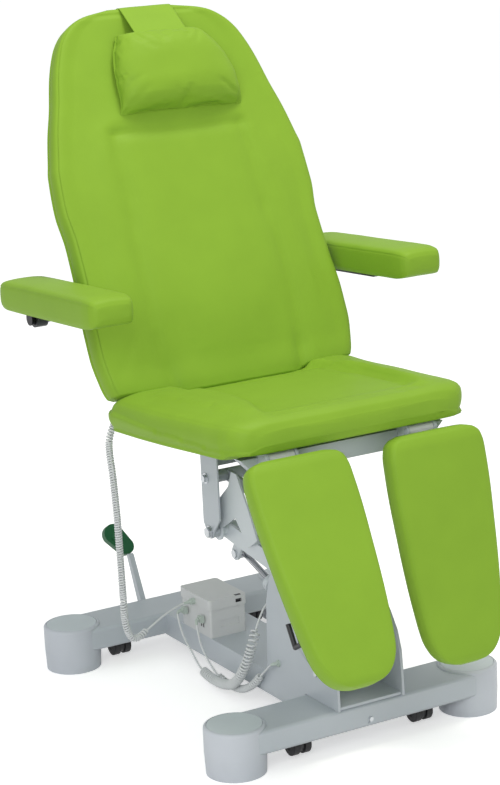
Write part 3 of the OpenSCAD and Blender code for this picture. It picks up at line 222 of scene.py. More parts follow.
def finish(name, colour, roughness, grain=0.0, grain_size=900.0, metallic=0.0, mottle=0.04,
           stretch=None):
    """Material with soft mottling of its colour and a fine bump; sizes are waves to the metre on
    Object coordinates."""
    m = bpy.data.materials.new(name)
    m.use_nodes = True
    nodes, links = m.node_tree.nodes, m.node_tree.links
    shader = nodes["Principled BSDF"]
    shader.inputs["Roughness"].default_value = roughness
    shader.inputs["Metallic"].default_value = metallic
    place = nodes.new("ShaderNodeTexCoord")
    source = place.outputs["Object"]
    if stretch:
        turn = nodes.new("ShaderNodeMapping")
        turn.inputs["Scale"].default_value = stretch
        links.new(source, turn.inputs["Vector"])
        source = turn.outputs["Vector"]
    cloud = nodes.new("ShaderNodeTexNoise")
    cloud.inputs["Scale"].default_value = 14
    cloud.inputs["Detail"].default_value = 5
    links.new(place.outputs["Object"], cloud.inputs["Vector"])
    ramp = nodes.new("ShaderNodeValToRGB")
    base = np.array(colour[:3])
    ramp.color_ramp.elements[0].position = 0.3
    ramp.color_ramp.elements[0].color = (*(base * (1 - mottle)), 1)
    ramp.color_ramp.elements[1].position = 0.7
    ramp.color_ramp.elements[1].color = (*np.minimum(base * (1 + mottle), 1), 1)
    links.new(cloud.outputs["Fac"], ramp.inputs["Fac"])
    links.new(ramp.outputs["Color"], shader.inputs["Base Color"])
    if grain:
        fine = nodes.new("ShaderNodeTexNoise")
        fine.inputs["Scale"].default_value = grain_size
        fine.inputs["Detail"].default_value = 2
        links.new(source, fine.inputs["Vector"])
        bump = nodes.new("ShaderNodeBump")
        bump.inputs["Strength"].default_value = grain
        bump.inputs["Distance"].default_value = 0.0003
        links.new(fine.outputs["Fac"], bump.inputs["Height"])
        links.new(bump.outputs["Normal"], shader.inputs["Normal"])
    return m


def vinyl_finish():
    """Upholstery vinyl: soft pebble grain from cells over noise, a touch of sheen and slow shifts
    of tone."""
    m = finish("green_vinyl", linear(133, 171, 52), 0.5, grain=0.35, grain_size=750, mottle=0.025)
    nodes, links = m.node_tree.nodes, m.node_tree.links
    shader = nodes["Principled BSDF"]
    shader.inputs["Sheen Weight"].default_value = 0.015
    shader.inputs["IOR"].default_value = 1.22
    shader.inputs["Sheen Roughness"].default_value = 0.5
    cells = nodes.new("ShaderNodeTexVoronoi")
    cells.inputs["Scale"].default_value = 620
    place = next(n for n in nodes if n.type == "TEX_COORD")
    links.new(place.outputs["Object"], cells.inputs["Vector"])
    bump = next(n for n in nodes if n.type == "BUMP")
    second = nodes.new("ShaderNodeBump")
    second.inputs["Strength"].default_value = 0.22
    second.inputs["Distance"].default_value = 0.0003
    links.new(cells.outputs["Distance"], second.inputs["Height"])
    links.new(bump.outputs["Normal"], second.inputs["Normal"])
    links.new(second.outputs["Normal"], shader.inputs["Normal"])
    return m


def paint_box(material, node, low, high, colour):
    """Another colour on what lies inside a box of the drawing, such as painted shade on the floor of
    a
    recess: three compares multiplied."""
    nodes, links = material.node_tree.nodes, material.node_tree.links
    corners = [node.matrix_world.inverted() @ Vector(q) for q in row([low, high])]
    apart = nodes.new("ShaderNodeSeparateXYZ")
    place = next(n for n in nodes if n.type == "TEX_COORD")
    links.new(place.outputs["Object"], apart.inputs[0])
    inside = None
    for k in range(3):
        near = nodes.new("ShaderNodeMath")
        near.operation = "COMPARE"
        near.inputs[1].default_value = (corners[0][k] + corners[1][k]) / 2
        near.inputs[2].default_value = abs(corners[1][k] - corners[0][k]) / 2
        links.new(apart.outputs[k], near.inputs[0])
        if inside:
            both = nodes.new("ShaderNodeMath")
            both.operation = "MULTIPLY"
            links.new(inside, both.inputs[0])
            links.new(near.outputs[0], both.inputs[1])
            inside = both.outputs[0]
        else:
            inside = near.outputs[0]
    mix = nodes.new("ShaderNodeMix")
    mix.data_type = "RGBA"
    shader = nodes["Principled BSDF"]
    before = shader.inputs["Base Color"].links[0].from_socket
    links.new(inside, mix.inputs[0])
    links.new(before, mix.inputs[6])
    mix.inputs[7].default_value = colour
    links.new(mix.outputs[2], shader.inputs["Base Color"])


VINYL = vinyl_finish()
COAT_GREY = finish("coat_grey", linear(183, 190, 196), 0.36, grain=0.10, grain_size=420,
                   mottle=0.015)
# Lighter copy of the grey coat: painted light for the lift arm and actuator, standing for the light
# their faces catch
COAT_GREY_LIT = finish("coat_grey_lit", linear(200, 207, 211), 0.36, grain=0.10, grain_size=420,
                    mottle=0.015)
COAT_DARK = finish("coat_dark", linear(46, 48, 51), 0.45, grain=0.15, grain_size=420, mottle=0.05)
FOOT_PLASTIC = finish("foot_plastic", linear(194, 199, 206), 0.5, grain=0.2, grain_size=1200,
                      mottle=0.02)
LID_PLASTIC = finish("lid_plastic", linear(199, 208, 212), 0.55, grain=0.2, grain_size=1200,
                     mottle=0.03)
BOX_PLASTIC = finish("box_plastic", linear(204, 206, 206), 0.5, grain=0.25, grain_size=1400,
                     mottle=0.02)
ZINC = finish("zinc_steel", linear(196, 200, 204), 0.34, grain=0.12, metallic=0.9, mottle=0.06)
CHROME = finish("chrome_rod", linear(168, 170, 174), 0.16, grain=0.04, metallic=1.0, mottle=0.02,
                stretch=(30, 1, 1))
SHEATH = finish("cord_sheath", linear(214, 217, 218), 0.42, grain=0.1, mottle=0.03)
PLUG_GREY = finish("plug_grey", linear(184, 196, 188), 0.5, grain=0.15, mottle=0.04)
BLACK = finish("black_plastic", linear(34, 34, 37), 0.42, grain=0.2, mottle=0.1)
TYRE = finish("castor_tread", linear(30, 30, 33), 0.6, grain=0.3, mottle=0.12)
PEDAL = finish("pedal_rubber", linear(10, 86, 48), 0.5, grain=0.4, grain_size=600, mottle=0.08)

BY_NODE = {
    COAT_GREY: ["base_frame", "pedestal", "pedal_bracket", "castor_carriage", "pedal_lever",
                "lift_link", "carrier", "seat_frame", "front_rail", "back_frame", "leg_arm_left",
                "leg_arm_right"],
    COAT_DARK: ["back_actuator", "armrest_arm_left", "armrest_arm_right"],
    # grey coat painted lighter, standing for the light on the lift arm and actuator
    COAT_GREY_LIT: ["lift_arm", "lift_actuator"],
    FOOT_PLASTIC: ["feet"],
    LID_PLASTIC: ["foot_lids"],
    BOX_PLASTIC: ["control_box", "box_cover", "handset"],
    PLUG_GREY: ["box_plugs"],
    ZINC: ["lift_pins", "beam_bolts", "rod_pin", "carrier_bolts", "armrest_tube",
           "leg_slide_left", "leg_slide_right"],
    CHROME: ["lift_rod", "back_rod"],
    PEDAL: ["pedal_pad"],
    BLACK: ["handset_key_up", "handset_key_down", "leg_knob_left", "leg_knob_right",
            "leg_lever_left", "leg_lever_right", "castor_fork_fl", "castor_fork_fr",
            "castor_fork_rl", "castor_fork_rr"],
    TYRE: ["castor_wheels_fl", "castor_wheels_fr", "castor_wheels_rl", "castor_wheels_rr"],
}
for material, names in BY_NODE.items():
    for name in names:
        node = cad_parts[name]
        node.data.materials.clear()
        node.data.materials.append(material)

# Steel and plastic with eased edges
EASED = ("base_frame", "pedestal", "seat_frame", "front_rail", "control_box", "box_cover",
         "carrier", "lift_arm")
WELD_GAP, EASE_WIDTH, EASE_ANGLE = 0.00002, 0.0009, math.radians(40)
for name in EASED:
    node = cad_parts[name]
    weld = node.modifiers.new("joined", "WELD")
    weld.merge_threshold = WELD_GAP
    ease = node.modifiers.new("eased_edges", "BEVEL")
    ease.width, ease.segments = EASE_WIDTH, 2
    ease.limit_method, ease.angle_limit = "ANGLE", EASE_ANGLE
    ease.harden_normals = False

# Parts with a second colour: painted shade in the box's vents and socket, white tubes at the leg
# hinges, black caps on the armrest tube
DARK, WHITE = linear(30, 30, 32), linear(214, 216, 216)
for name, boxes in {
    # painted shade in the vent slots of the box
    "control_box": [((-69.8, 110, 60), (-67, 140, 200), DARK)],
    # painted shade in the socket of the cover
    "box_cover": [((-9.6, 86.3, 60), (4.6, 95, 240), DARK)],
    "leg_arm_left": [((-200, -384, 588.5), (-100, -356, 620), WHITE)],
    "leg_arm_right": [((100, -384, 588.5), (200, -356, 620), WHITE)],
    "armrest_tube": [((-420, 150, 700), (-290, 350, 900), DARK),
                     ((290, 150, 700), (420, 350, 900), DARK)],
}.items():
    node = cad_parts[name]
    own = node.data.materials[0].copy()
    own.name = name + "_finish"
    node.data.materials[0] = own
    for low_corner, high_corner, colour in boxes:
        paint_box(own, node, low_corner, high_corner, colour)


# Camera at the photograph's place

CAMERA_AT = (-2191.7, -3852.9, 1726.0)
YAW, PITCH, ROLL = 0.51718, 0.24319, -0.04846
FOCAL_PX, LONG_SIDE_PX, SENSOR_MM = 2272.8, 785, 36


def make_camera():
    """Camera whose axes are the fitted ones: ahead = (sin y, cos y, 0) cos p - z sin p, rolled
    about it."""
    level = np.array([math.sin(YAW), math.cos(YAW), 0])
    side = np.array([math.cos(YAW), -math.sin(YAW), 0])
    z = np.array([0, 0, 1.0])
    ahead = level * math.cos(PITCH) - z * math.sin(PITCH)
    up = z * math.cos(PITCH) + level * math.sin(PITCH)
    right = side * math.cos(ROLL) + up * math.sin(ROLL)
    over = up * math.cos(ROLL) - side * math.sin(ROLL)
    lens = bpy.data.cameras.new("camera")
    lens.sensor_width = SENSOR_MM
    lens.lens = SENSOR_MM * FOCAL_PX / LONG_SIDE_PX
    lens.clip_start, lens.clip_end = 0.1, 60
    camera = bpy.data.objects.new("camera", lens)
    bpy.context.scene.collection.objects.link(camera)
    turn = np.eye(4)
    turn[:3, :3] = np.stack([right, over, -ahead], 1)
    turn[:3, 3] = row(CAMERA_AT)
    camera.matrix_world = Matrix(turn.tolist())
    bpy.context.scene.camera = camera


make_camera()

# Cords, whose routes and curls are those of the part's source

CORD_R = 2.2
HAND_ROUTE = [(-222, 115.5, 644.5), (-222, 112.2, 637.5), (-223, 109.5, 630), (-246, 105, 602),
              (-270, 104, 550), (-266, 105, 470), (-262, 106, 385), (-260, 108, 300),
              (-258, 110, 215), (-255, 114, 165), (-244, 118, 130), (-225, 124, 118),
              (-195, 132, 128), (-150, 142, 146), (-110, 150, 156), (-90, 152, 158),
              (-82, 152, 158)]
HAND_CURLS = [0, 0, 5, 10, 15, 16, 16, 16, 9, 7, 4, 5, 0, 0, 0, 0]
LIFT_ROUTE = [(-82, 190, 128), (-88, 190, 128), (-96, 186, 122), (-100, 160, 88), (-100, 120, 56),
              (-100, 80, 32), (-100, 10, 26), (-100, -52, 44), (-100, -98, 90), (-92, -118, 140),
              (-78, -116, 176), (-60, -112, 206), (-44, -108, 220), (-32, -106, 220.8),
              (-22.4, -106, 220.8)]
LIFT_CURLS = [0, 0, 0, 0, 0, 10, 9, 9, 7, 4, 0, 0, 0, 0]
BASE_ROUTE = [(-82, 118, 128), (-86, 118, 128), (-90, 114, 120), (-87, 100, 70), (-86, 40, 30),
              (-86, -40, 26), (-86, -96, 48), (-86, -140, 84), (-86, -170, 110), (-88, -188, 122),
              (-87, -194, 125), (-83, -196, 125), (-79, -196, 125)]
BASE_CURLS = [0, 0, 0, 0, 9, 8, 7, 0, 0, 0, 0, 0]
CURL_R, LIFT_CURL_R, SMALL_CURL_R = 5.6, 8.6, 6.2
STEPS_PER_TURN, STEPS_STRAIGHT = 14, 10


def wound(route, curls, radius, across):
    """Middle line of a cord: a Catmull-Rom route c(t) plus curls r g (cos a e1 + sin a e2), where
    g fades over one turn."""
    p = np.asarray(route, float)
    out = []
    turned, whole = 0.0, float(sum(curls))
    for i, curl in enumerate(curls):
        a, b, c = p[max(i - 1, 0)], p[i], p[i + 1]
        d = p[min(i + 2, len(p) - 1)]
        count = curl * STEPS_PER_TURN if curl else STEPS_STRAIGHT
        u = (np.arange(count + (i == len(curls) - 1)) / count)[:, None]
        c2, c3 = 2 * a - 5 * b + 4 * c - d, 3 * b - a - 3 * c + d
        middle = 0.5 * (2 * b + (c - a) * u + c2 * u**2 + c3 * u**3)
        along = (c - a) + 2 * c2 * u + 3 * c3 * u**2
        along /= np.linalg.norm(along, axis=1, keepdims=True)
        e1 = np.cross(along, across)
        e1 /= np.linalg.norm(e1, axis=1, keepdims=True)
        e2 = np.cross(along, e1)
        s = turned + curl * u
        g = np.clip(np.minimum(s, whole - s), 0, 1)
        g = g * g * (3 - 2 * g)
        out.append(middle + radius * g * (np.cos(2 * np.pi * s) * e1 + np.sin(2 * np.pi * s) * e2))
        turned += curl
    line = np.vstack(out)
    keep = np.r_[True, np.linalg.norm(np.diff(line, axis=0), axis=1) > 1e-3]
    return line[keep]


def cord_piece(name, line, node):
    """Cord tube along the line, from its exit, in place of the part's own cord, which is hidden."""
    piece = tube(name, line, CORD_R, SHEATH, sides=8)
    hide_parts(node)
    return piece


hand_line = wound(HAND_ROUTE, HAND_CURLS, CURL_R, (0, 1, 0))
# Three lengths end to end, cut 618 and 380 mm above the floor (the lower cut on the outer run)
cut_high = int(np.argmin(np.abs(hand_line[:, 2] - 618)))
cut_low = int(np.argmin(np.abs(hand_line[:, 2] - 380) + 1000 * (hand_line[:, 0] > -240)))
hand_parts = [("hand_cord_top", hand_line[: cut_high + 1], "back", "carrier"),
              ("hand_cord_middle", hand_line[cut_high : cut_low + 1], "carrier", "lift_arm"),
              ("hand_cord_low", hand_line[cut_low:], "lift_arm", "base")]
for name, line, upper, lower in hand_parts:
    piece = cord_piece(name, line, "cord_hand")
    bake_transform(piece)

lift_line = wound(LIFT_ROUTE, LIFT_CURLS, LIFT_CURL_R, (1, 0, 0.25))
lift_cord = cord_piece("lift_cord", lift_line, "cord_lift")
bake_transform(lift_cord)
base_line = wound(BASE_ROUTE, BASE_CURLS, SMALL_CURL_R, (1, 0, 0.25))
base_cord = cord_piece("base_cord", base_line, "cord_base")
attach(base_cord, "base")


# Strain reliefs: length, radius at both ends, height and pitch of the ribs
BOOT_L, BOOT_R, BOOT_RIB, BOOT_PITCH = 16, (4.3, 2.5), 0.3, 2.6


def make_boot(name, line, body):
    """Tapered strain relief on the start of a line: its radius falls evenly with s, the way along
    it, plus ribs h cos(2 pi s / pitch)."""
    s = np.r_[0, np.cumsum(np.linalg.norm(np.diff(line, axis=0), axis=1))]
    at = np.linspace(0, BOOT_L, 65)
    middle = np.stack([np.interp(at, s, line[:, k]) for k in range(3)], 1)
    for _ in range(3):
        middle[1:-1] = (middle[:-2] + 2 * middle[1:-1] + middle[2:]) / 4
    radius = BOOT_R[0] + (BOOT_R[1] - BOOT_R[0]) * at / BOOT_L
    radius = radius + BOOT_RIB * np.cos(2 * np.pi * at / BOOT_PITCH)
    piece = tube(name, middle, np.maximum(radius, CORD_R + 0.15), PLUG_GREY, sides=20)
    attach(piece, body)


make_boot("hand_cord_boot", hand_line[::-1], "base")
make_boot("lift_cord_boot", lift_line, "base")
make_boot("lift_cord_far_boot", lift_line[::-1], "lift_actuator")
make_boot("base_cord_boot", base_line, "base")
make_boot("base_cord_far_boot", base_line[::-1], "base")

# Cloth pass of the cushions


def places(mesh):
    """Vertices of a mesh as an (n, 3) array."""
    out = np.empty(3 * len(mesh.vertices))
    mesh.vertices.foreach_get("co", out)
    return out.reshape(-1, 3)


CLOTH_FRAMES = 20


def settle(piece, spacing, held, cap, shrink, loose=lambda q: 1.0):
    """Skin after a short cloth pass: an evenly remeshed copy is blown up from inside for 20 frames
    while its held places stay. Its movement d, less the mean push along the normals and limited to
    cap tanh(|d| / cap), is carried over to the fine skin from the four nearest places, weighted by
    1 / distance squared and scaled by how loose each place is."""
    scene = bpy.context.scene
    copy = bpy.data.objects.new("cloth_copy", piece.data.copy())
    scene.collection.objects.link(copy)
    even = copy.modifiers.new("even", "REMESH")
    even.mode, even.voxel_size = "VOXEL", spacing
    graph = bpy.context.evaluated_depsgraph_get()
    copy.data = bpy.data.meshes.new_from_object(copy.evaluated_get(graph))
    copy.modifiers.clear()
    rest = places(copy.data)
    copy.vertex_groups.new(name="held").add(np.nonzero(held(rest))[0].tolist(), 1.0, "REPLACE")
    cloth = copy.modifiers.new("cloth", "CLOTH")
    cloth.settings.quality = 5
    cloth.settings.mass = 0.3
    cloth.settings.tension_stiffness = cloth.settings.compression_stiffness = 12
    cloth.settings.bending_stiffness = 0.4
    cloth.settings.use_pressure = True
    cloth.settings.uniform_pressure_force = 4
    cloth.settings.shrink_min = shrink
    cloth.settings.vertex_group_mass = "held"
    cloth.settings.effector_weights.gravity = 0
    cloth.point_cache.frame_start, cloth.point_cache.frame_end = 1, CLOTH_FRAMES
    for k in range(1, CLOTH_FRAMES + 1):
        scene.frame_set(k)
    posed = copy.evaluated_get(bpy.context.evaluated_depsgraph_get())
    d = places(posed.data) - rest
    normals = np.empty(3 * len(rest))
    copy.data.vertices.foreach_get("normal", normals)
    normals = normals.reshape(-1, 3)
    free = ~held(rest)
    push = (d * normals).sum(1)
    d -= normals * np.where(free, push[free].mean(), 0)[:, None]
    size = np.linalg.norm(d, axis=1, keepdims=True) + 1e-9
    d *= cap * np.tanh(size / cap) / size
    bpy.data.objects.remove(copy)
    scene.frame_set(1)
    fine = places(piece.data)
    moved = np.empty_like(fine)
    for k in range(0, len(fine), 2000):
        p = fine[k : k + 2000]
        far = (p**2).sum(1)[:, None] - 2 * p @ rest.T + (rest**2).sum(1)
        near = np.argpartition(far, 4, axis=1)[:, :4]
        w = 1 / (np.take_along_axis(far, near, 1).clip(0) + 1e-7)
        moved[k : k + 2000] = (d[near] * (w / w.sum(1, keepdims=True))[..., None]).sum(1)
    moved *= np.reshape(loose(fine), (-1, 1))
    piece.data.vertices.foreach_set("co", (fine + moved).ravel())
    piece.data.update()
    print("cloth", piece.name, len(rest), "moved", round(float(np.abs(moved).max() / MM), 2), "mm")


# Seat cushion

SEAT_REAR, SEAT_L, SEAT_W, SEAT_T, SEAT_Z = 90, 492, 578, 80, 576
SEAT_SLOPE = math.tan(math.radians(3.6))
SEAT_SECTION = [(-0.925, 0.02), (-0.975, 0.16), (-1.005, 0.42), (-0.992, 0.7), (-0.945, 0.885),
                (-0.83, 0.985), (-0.7, 1.01), (-0.4, 1.0), (0, 1.0), (0.4, 1.01), (0.7, 1.03),
                (0.83, 1.02), (0.94, 0.94), (0.995, 0.77), (1.005, 0.47), (0.985, 0.2),
                (0.94, 0.02), (0.5, 0), (0, 0), (-0.5, 0)]
SEAT_STATIONS = [(0.0185, 0.93, 0.76, 0.12), (0.03, 0.965, 0.88, 0.03), (0.05, 0.985, 0.945, 0.005),
                 (0.08, 0.995, 1.005, 0), (0.105, 0.995, 1.035, 0), (0.15, 0.995, 1.02, 0),
                 (0.24, 0.995, 1.0, 0), (0.45, 0.985, 0.99, 0), (0.7, 0.955, 1.0, 0),
                 (0.87, 0.935, 1.01, 0), (0.9, 0.922, 1.005, 0.061), (0.927, 0.91, 0.99, 0.122),
                 (0.945, 0.894, 0.97, 0.12), (0.96, 0.875, 0.94, 0.12), (0.986, 0.82, 0.84, 0.15),
                 (1, 0.72, 0.68, 0.3)]
# Below this height in metres the cover stays still in the cloth pass
SEAT_HELD = 0.62
# Depths of the dish, of the seams at the foot of its bolsters and of the dimples behind them
DISH_DEPTH, SEAT_SEAM, SEAT_DIMPLE = 16, 5.0, 2.0
# Foot of the bolsters on either side of the dish, from rear to front: across, lengthwise
DISH_LEFT = [(-140, 90), (-138, 55), (-118, -50), (-112, -150), (-128, -250), (-160, -345)]
DISH_RIGHT = [(142, 90), (150, 60), (172, -10), (184, -130), (180, -220), (168, -330)]
# Creases of the cover: points, depth, width
SEAT_CREASES = [([(-112, 40), (39, 46), (140, 38)], 1.2, 7), ([(126, -404), (129, -370)], 1.6, 6)]


def seat_low(y):
    """Height of the seat's underside at y: it rises toward the front at the seat's slope."""
    return SEAT_Z + (SEAT_REAR - y) * SEAT_SLOPE


def make_seat():
    """Seat: rings (x, z) carried along y. Its top sinks by smooth steps into a dish between two
    bolsters, by bells around their seams, dimples and creases, and by soft noise."""
    first = SEAT_STATIONS[0][0]
    t = first + (1 - first) * crowded(150)
    s = shares(SEAT_STATIONS, t)
    y = SEAT_REAR - t * SEAT_L
    ring = closed_ring(SEAT_SECTION, 9)
    x = ring[None, :, 0] * s[:, 0:1] * SEAT_W / 2
    share = ring[None, :, 1] * np.ones((len(t), 1))
    low = seat_low(y)[:, None]
    z = low + SEAT_T * (s[:, 2:3] + share * (s[:, 1:2] - s[:, 2:3]))
    yy = np.repeat(y[:, None], x.shape[1], 1)
    top = step_up(share, 0.80, 0.96)
    left = np.interp(yy, [p[1] for p in DISH_LEFT[::-1]], [p[0] for p in DISH_LEFT[::-1]])
    right = np.interp(yy, [p[1] for p in DISH_RIGHT[::-1]], [p[0] for p in DISH_RIGHT[::-1]])
    inside = step_up(x, left - 20, left + 4) * step_up(-x, -right - 20, -right + 4)
    ends = step_up(yy, -392, -300) * (1 - 0.3 * step_up(yy, 20, 76))
    z = z - top * DISH_DEPTH * inside * ends
    plan = np.stack([x, yy], -1)
    for line in (DISH_LEFT, DISH_RIGHT):
        z = z - top * SEAT_SEAM * hump(off_line(plan, line), 6) * step_up(yy, -370, -250)
        z = z - top * SEAT_DIMPLE * hump(off_line(plan, [(line[0][0], 92), (line[0][0], 66)]), 16)
    for line, depth, width in SEAT_CREASES:
        z = z - top * depth * hump(off_line(plan, line), width)
    z = z + top * 1.3 * noise_field(plan, 170, 5)
    # Sewn line round the upper edge
    edge = hump(np.abs(share - 0.83) * SEAT_T, 2.2) * (np.abs(ring[None, :, 0]) > 0.9)
    x = x * (1 - 0.004 * edge)
    piece = loft("seat_cover", np.stack([x, yy, z], -1), VINYL)
    settle(piece, spacing=0.0075, held=lambda q: q[:, 2] < SEAT_HELD, cap=0.005, shrink=-0.002)
    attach(piece, "carrier")
    return piece


# Back cushion

LEAN = math.radians(24.06)
BACK_BASE = np.array([0, 58.2, 700.0])
BACK_L, BACK_W, BACK_T = 751, 584, 52
BACK_SECTION = [(-0.95, 0.04), (-0.99, 0.2), (-1, 0.5), (-0.985, 0.8), (-0.94, 0.94), (-0.84, 0.99),
                (-0.7, 1.0), (-0.4, 1.0), (0, 1.0), (0.4, 1.0), (0.7, 1.0), (0.84, 0.99),
                (0.94, 0.94), (0.985, 0.8), (1, 0.5), (0.99, 0.2), (0.95, 0.04), (0.5, 0), (0, 0),
                (-0.5, 0)]
BACK_OUTLINE = [(-0.066, 0.915, 0.91), (-0.058, 0.957, 0.952), (-0.02, 0.987, 0.98),
                (0.06, 1.012, 1.008), (0.13, 1.01, 1.008), (0.236, 0.99, 0.988),
                (0.36, 0.985, 0.98), (0.45, 1.004, 1.006), (0.556, 0.985, 1.003),
                (0.592, 0.963, 0.984), (0.668, 0.914, 0.94), (0.742, 0.853, 0.882),
                (0.834, 0.788, 0.818), (0.905, 0.713, 0.742), (0.94, 0.65, 0.675),
                (0.965, 0.575, 0.592), (0.985, 0.47, 0.475), (1, 0.28, 0.28)]
BACK_THICK = [(-0.066, 0.88), (-0.06, 0.98), (0, 1.06), (0.15, 1.12), (0.4, 1.0), (0.7, 0.9),
              (0.9, 0.84), (0.97, 0.8), (1, 0.55)]
# Depths of the panel's side and top seams and of their stitched lines
SIDE_SEAM, SIDE_STITCH, TOP_SEAM, TOP_STITCH = 6.0, 3.6, 5.0, 3.0
# Depths of the dimples at the low ends of the side seams and of the hollow below the pillow
LOW_DIMPLE, TOP_DIMPLE = 3.0, 2.0
# Rise of the belly; how far the low end hangs; the share of depth past which the cover stays still
BELLY, BACK_HANG, BACK_HELD = 3.5, 13, 0.3
# Sewn lines of the middle panel in the back's own plane: across, up along the back
PANEL_LEFT = [(-145, -44), (-158, 20), (-167, 75), (-155, 241), (-143, 345), (-142, 440),
              (-137, 484)]
PANEL_RIGHT = [(150, -44), (164, 20), (171, 100), (166, 218), (156, 318), (158, 418), (157, 480)]
PANEL_TOP = [(-137, 484), (0, 480), (157, 480)]


def on_back(local):
    """Places in the back's frame (across, to the rear, up along it) as places of the drawing:
    turned by the lean about X."""
    x, y, z = np.moveaxis(np.asarray(local, float), -1, 0)
    c, s = math.cos(LEAN), math.sin(LEAN)
    return np.stack([x, y * c + z * s, z * c - y * s], -1) + BACK_BASE


def on_back_share(q):
    """Depth of places (metres) behind the front datum of the back, as a share of the cushion's
    thickness."""
    d = np.asarray(q) / MM - SHIFT - BACK_BASE
    return (d[:, 1] * math.cos(LEAN) - d[:, 2] * math.sin(LEAN)) / BACK_T


def back_depth(z):
    """Thickness of the back cushion at height z along the back."""
    return BACK_T * shares(BACK_THICK, z / BACK_L)[:, 0]


def inside_back(q):
    """0 at the edge of the back's outline, 1 from 45 mm inside it: where its cover may crease."""
    d = np.asarray(q) / MM - SHIFT - BACK_BASE
    up = d[:, 1] * math.sin(LEAN) + d[:, 2] * math.cos(LEAN)
    half = shares(BACK_OUTLINE, up / BACK_L)[:, 0] * BACK_W / 2
    return step_up(half - np.abs(d[:, 0]), 6, 45) * step_up(up, -45, 10)


def make_back():
    """Back: rings (x, depth) carried up along the back. Its front sinks by bells around the
    panel's sewn lines and dimples and rises by a belly and soft noise."""
    first = BACK_OUTLINE[0][0]
    t = first + (1 - first) * crowded(190)
    s = shares(BACK_OUTLINE, t)
    z = t * BACK_L
    thick = back_depth(z)
    ring = closed_ring(BACK_SECTION, 9)
    share = ring[None, :, 1] * np.ones((len(t), 1))
    x = ring[None, :, 0] * np.where(ring[None, :, 0] < 0, s[:, 0:1], s[:, 1:2]) * BACK_W / 2
    zz = np.repeat(z[:, None], x.shape[1], 1)
    out = share * thick[:, None]
    front = step_up(share, 0.8, 0.97)
    plan = np.stack([x, zz], -1)
    fade = step_up(-zz, -540, -455)
    for line in (PANEL_LEFT, PANEL_RIGHT):
        away = off_line(plan, line)
        out = out - front * fade * (SIDE_SEAM * hump(away, 20) + SIDE_STITCH * hump(away, 4))
        dimple = [line[0], (line[0][0] * 1.03, -12)]
        out = out - front * LOW_DIMPLE * hump(off_line(plan, dimple), 18)
    away = off_line(plan, PANEL_TOP)
    out = out - front * (TOP_SEAM * hump(away, 15) + TOP_STITCH * hump(away, 4))
    out = out - front * TOP_DIMPLE * hump(np.abs(x) / 60 + np.abs(zz - 500) / 24, 1.6)
    belly = hump(np.abs(zz - 120) / 150, 1) * hump(np.abs(x) / 120, 1)
    out = out + front * (BELLY * belly + 1.2 * noise_field(plan, 210, 11))
    # Sewn line round the front edge
    side = hump(np.abs(share - 0.86) * BACK_T, 1.2) * (np.abs(ring[None, :, 0]) > 0.93)
    x = x * (1 - 0.010 * side)
    # The middle of the low end hangs down into the seat's dish
    middle = step_up(x, -164, -134) * step_up(-x, -168, -138)
    zz = zz - BACK_HANG * (1 - step_up(zz, -40, 30)) * middle
    local = np.stack([x, BACK_T - out, zz], -1)
    piece = loft("back_cover", on_back(local), VINYL)
    settle(piece, spacing=0.008, held=lambda q: on_back_share(q) > BACK_HELD, cap=0.005,
           shrink=0.004, loose=inside_back)
    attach(piece, "back")
    return piece


# Head pillow with its flap over the top of the back

PILLOW_LOW, PILLOW_H, PILLOW_W, PILLOW_T = 517, 170, 286, 56
PILLOW_SECTION = [(-0.97, 0.10), (-1.0, 0.24), (-0.975, 0.45), (-0.88, 0.72), (-0.7, 0.9),
                  (-0.4, 0.985), (0, 1), (0.4, 0.985), (0.7, 0.9), (0.88, 0.72), (0.975, 0.45),
                  (1.0, 0.24), (0.97, 0.10), (0.6, 0), (0, 0), (-0.6, 0)]
PILLOW_STATIONS = [(0, 0.095, 1.0, 0.18), (0.03, 0.095, 1.0, 0.40), (0.09, 0.094, 0.985, 0.68),
                   (0.2, 0.092, 0.965, 0.92), (0.38, 0.085, 0.95, 1), (0.6, 0.07, 0.90, 1),
                   (0.75, 0.055, 0.83, 0.98), (0.88, 0.043, 0.74, 0.92), (0.96, 0.035, 0.68, 0.78),
                   (1, 0.03, 0.64, 0.5)]
# Creases of the pillow from its corners inward: across, up along the back
PILLOW_CREASES = [((-112, 522), (-60, 560)), ((-114, 560), (-70, 585)), ((165, 522), (110, 556)),
                  ((20, 516), (30, 548)), ((-60, 676), (-30, 640)), ((92, 676), (70, 648))]
CREASE_DEPTH, PILLOW_HELD = 1.6, 0.05


def make_pillow():
    """Pillow: rings (x, depth) carried up along the back, pinched at the lower corners and creased
    from them."""
    t = crowded(110)
    s = shares(PILLOW_STATIONS, t)
    ring = closed_ring(PILLOW_SECTION, 8)
    z = PILLOW_LOW + t * PILLOW_H
    x = s[:, 0:1] * PILLOW_W + ring[None, :, 0] * s[:, 1:2] * PILLOW_W / 2
    zz = np.repeat(z[:, None], x.shape[1], 1)
    out = ring[None, :, 1] * s[:, 2:3] * PILLOW_T
    plan = np.stack([x, zz], -1)
    front = step_up(ring[None, :, 1] * np.ones((len(t), 1)), 0.3, 0.9)
    for crease in PILLOW_CREASES:
        out = out - front * CREASE_DEPTH * hump(off_line(plan, crease), 7)
    out = out + front * 1.4 * noise_field(plan, 80, 3)
    seat_y = BACK_T - back_depth(z)[:, None] - 0.6
    piece = loft("pillow_cover", on_back(np.stack([x, seat_y - out, zz], -1)), VINYL, bulge=1.0)
    settle(piece, spacing=0.0045, held=lambda q: on_back_share(q) > PILLOW_HELD, cap=0.007,
           shrink=-0.03)
    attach(piece, "back")
    return piece


FLAP_LEFT, FLAP_RIGHT, FLAP_T = -50, 70, 1.6
FLAP_LINE = [(-25, 664), (-23.5, 676), (-14, 694), (2, 722), (14.5, 743), (20, 749.5), (27, 753),
             (38, 754), (46, 753.5), (52.4, 750), (53.2, 742), (53, 715), (53, 690)]


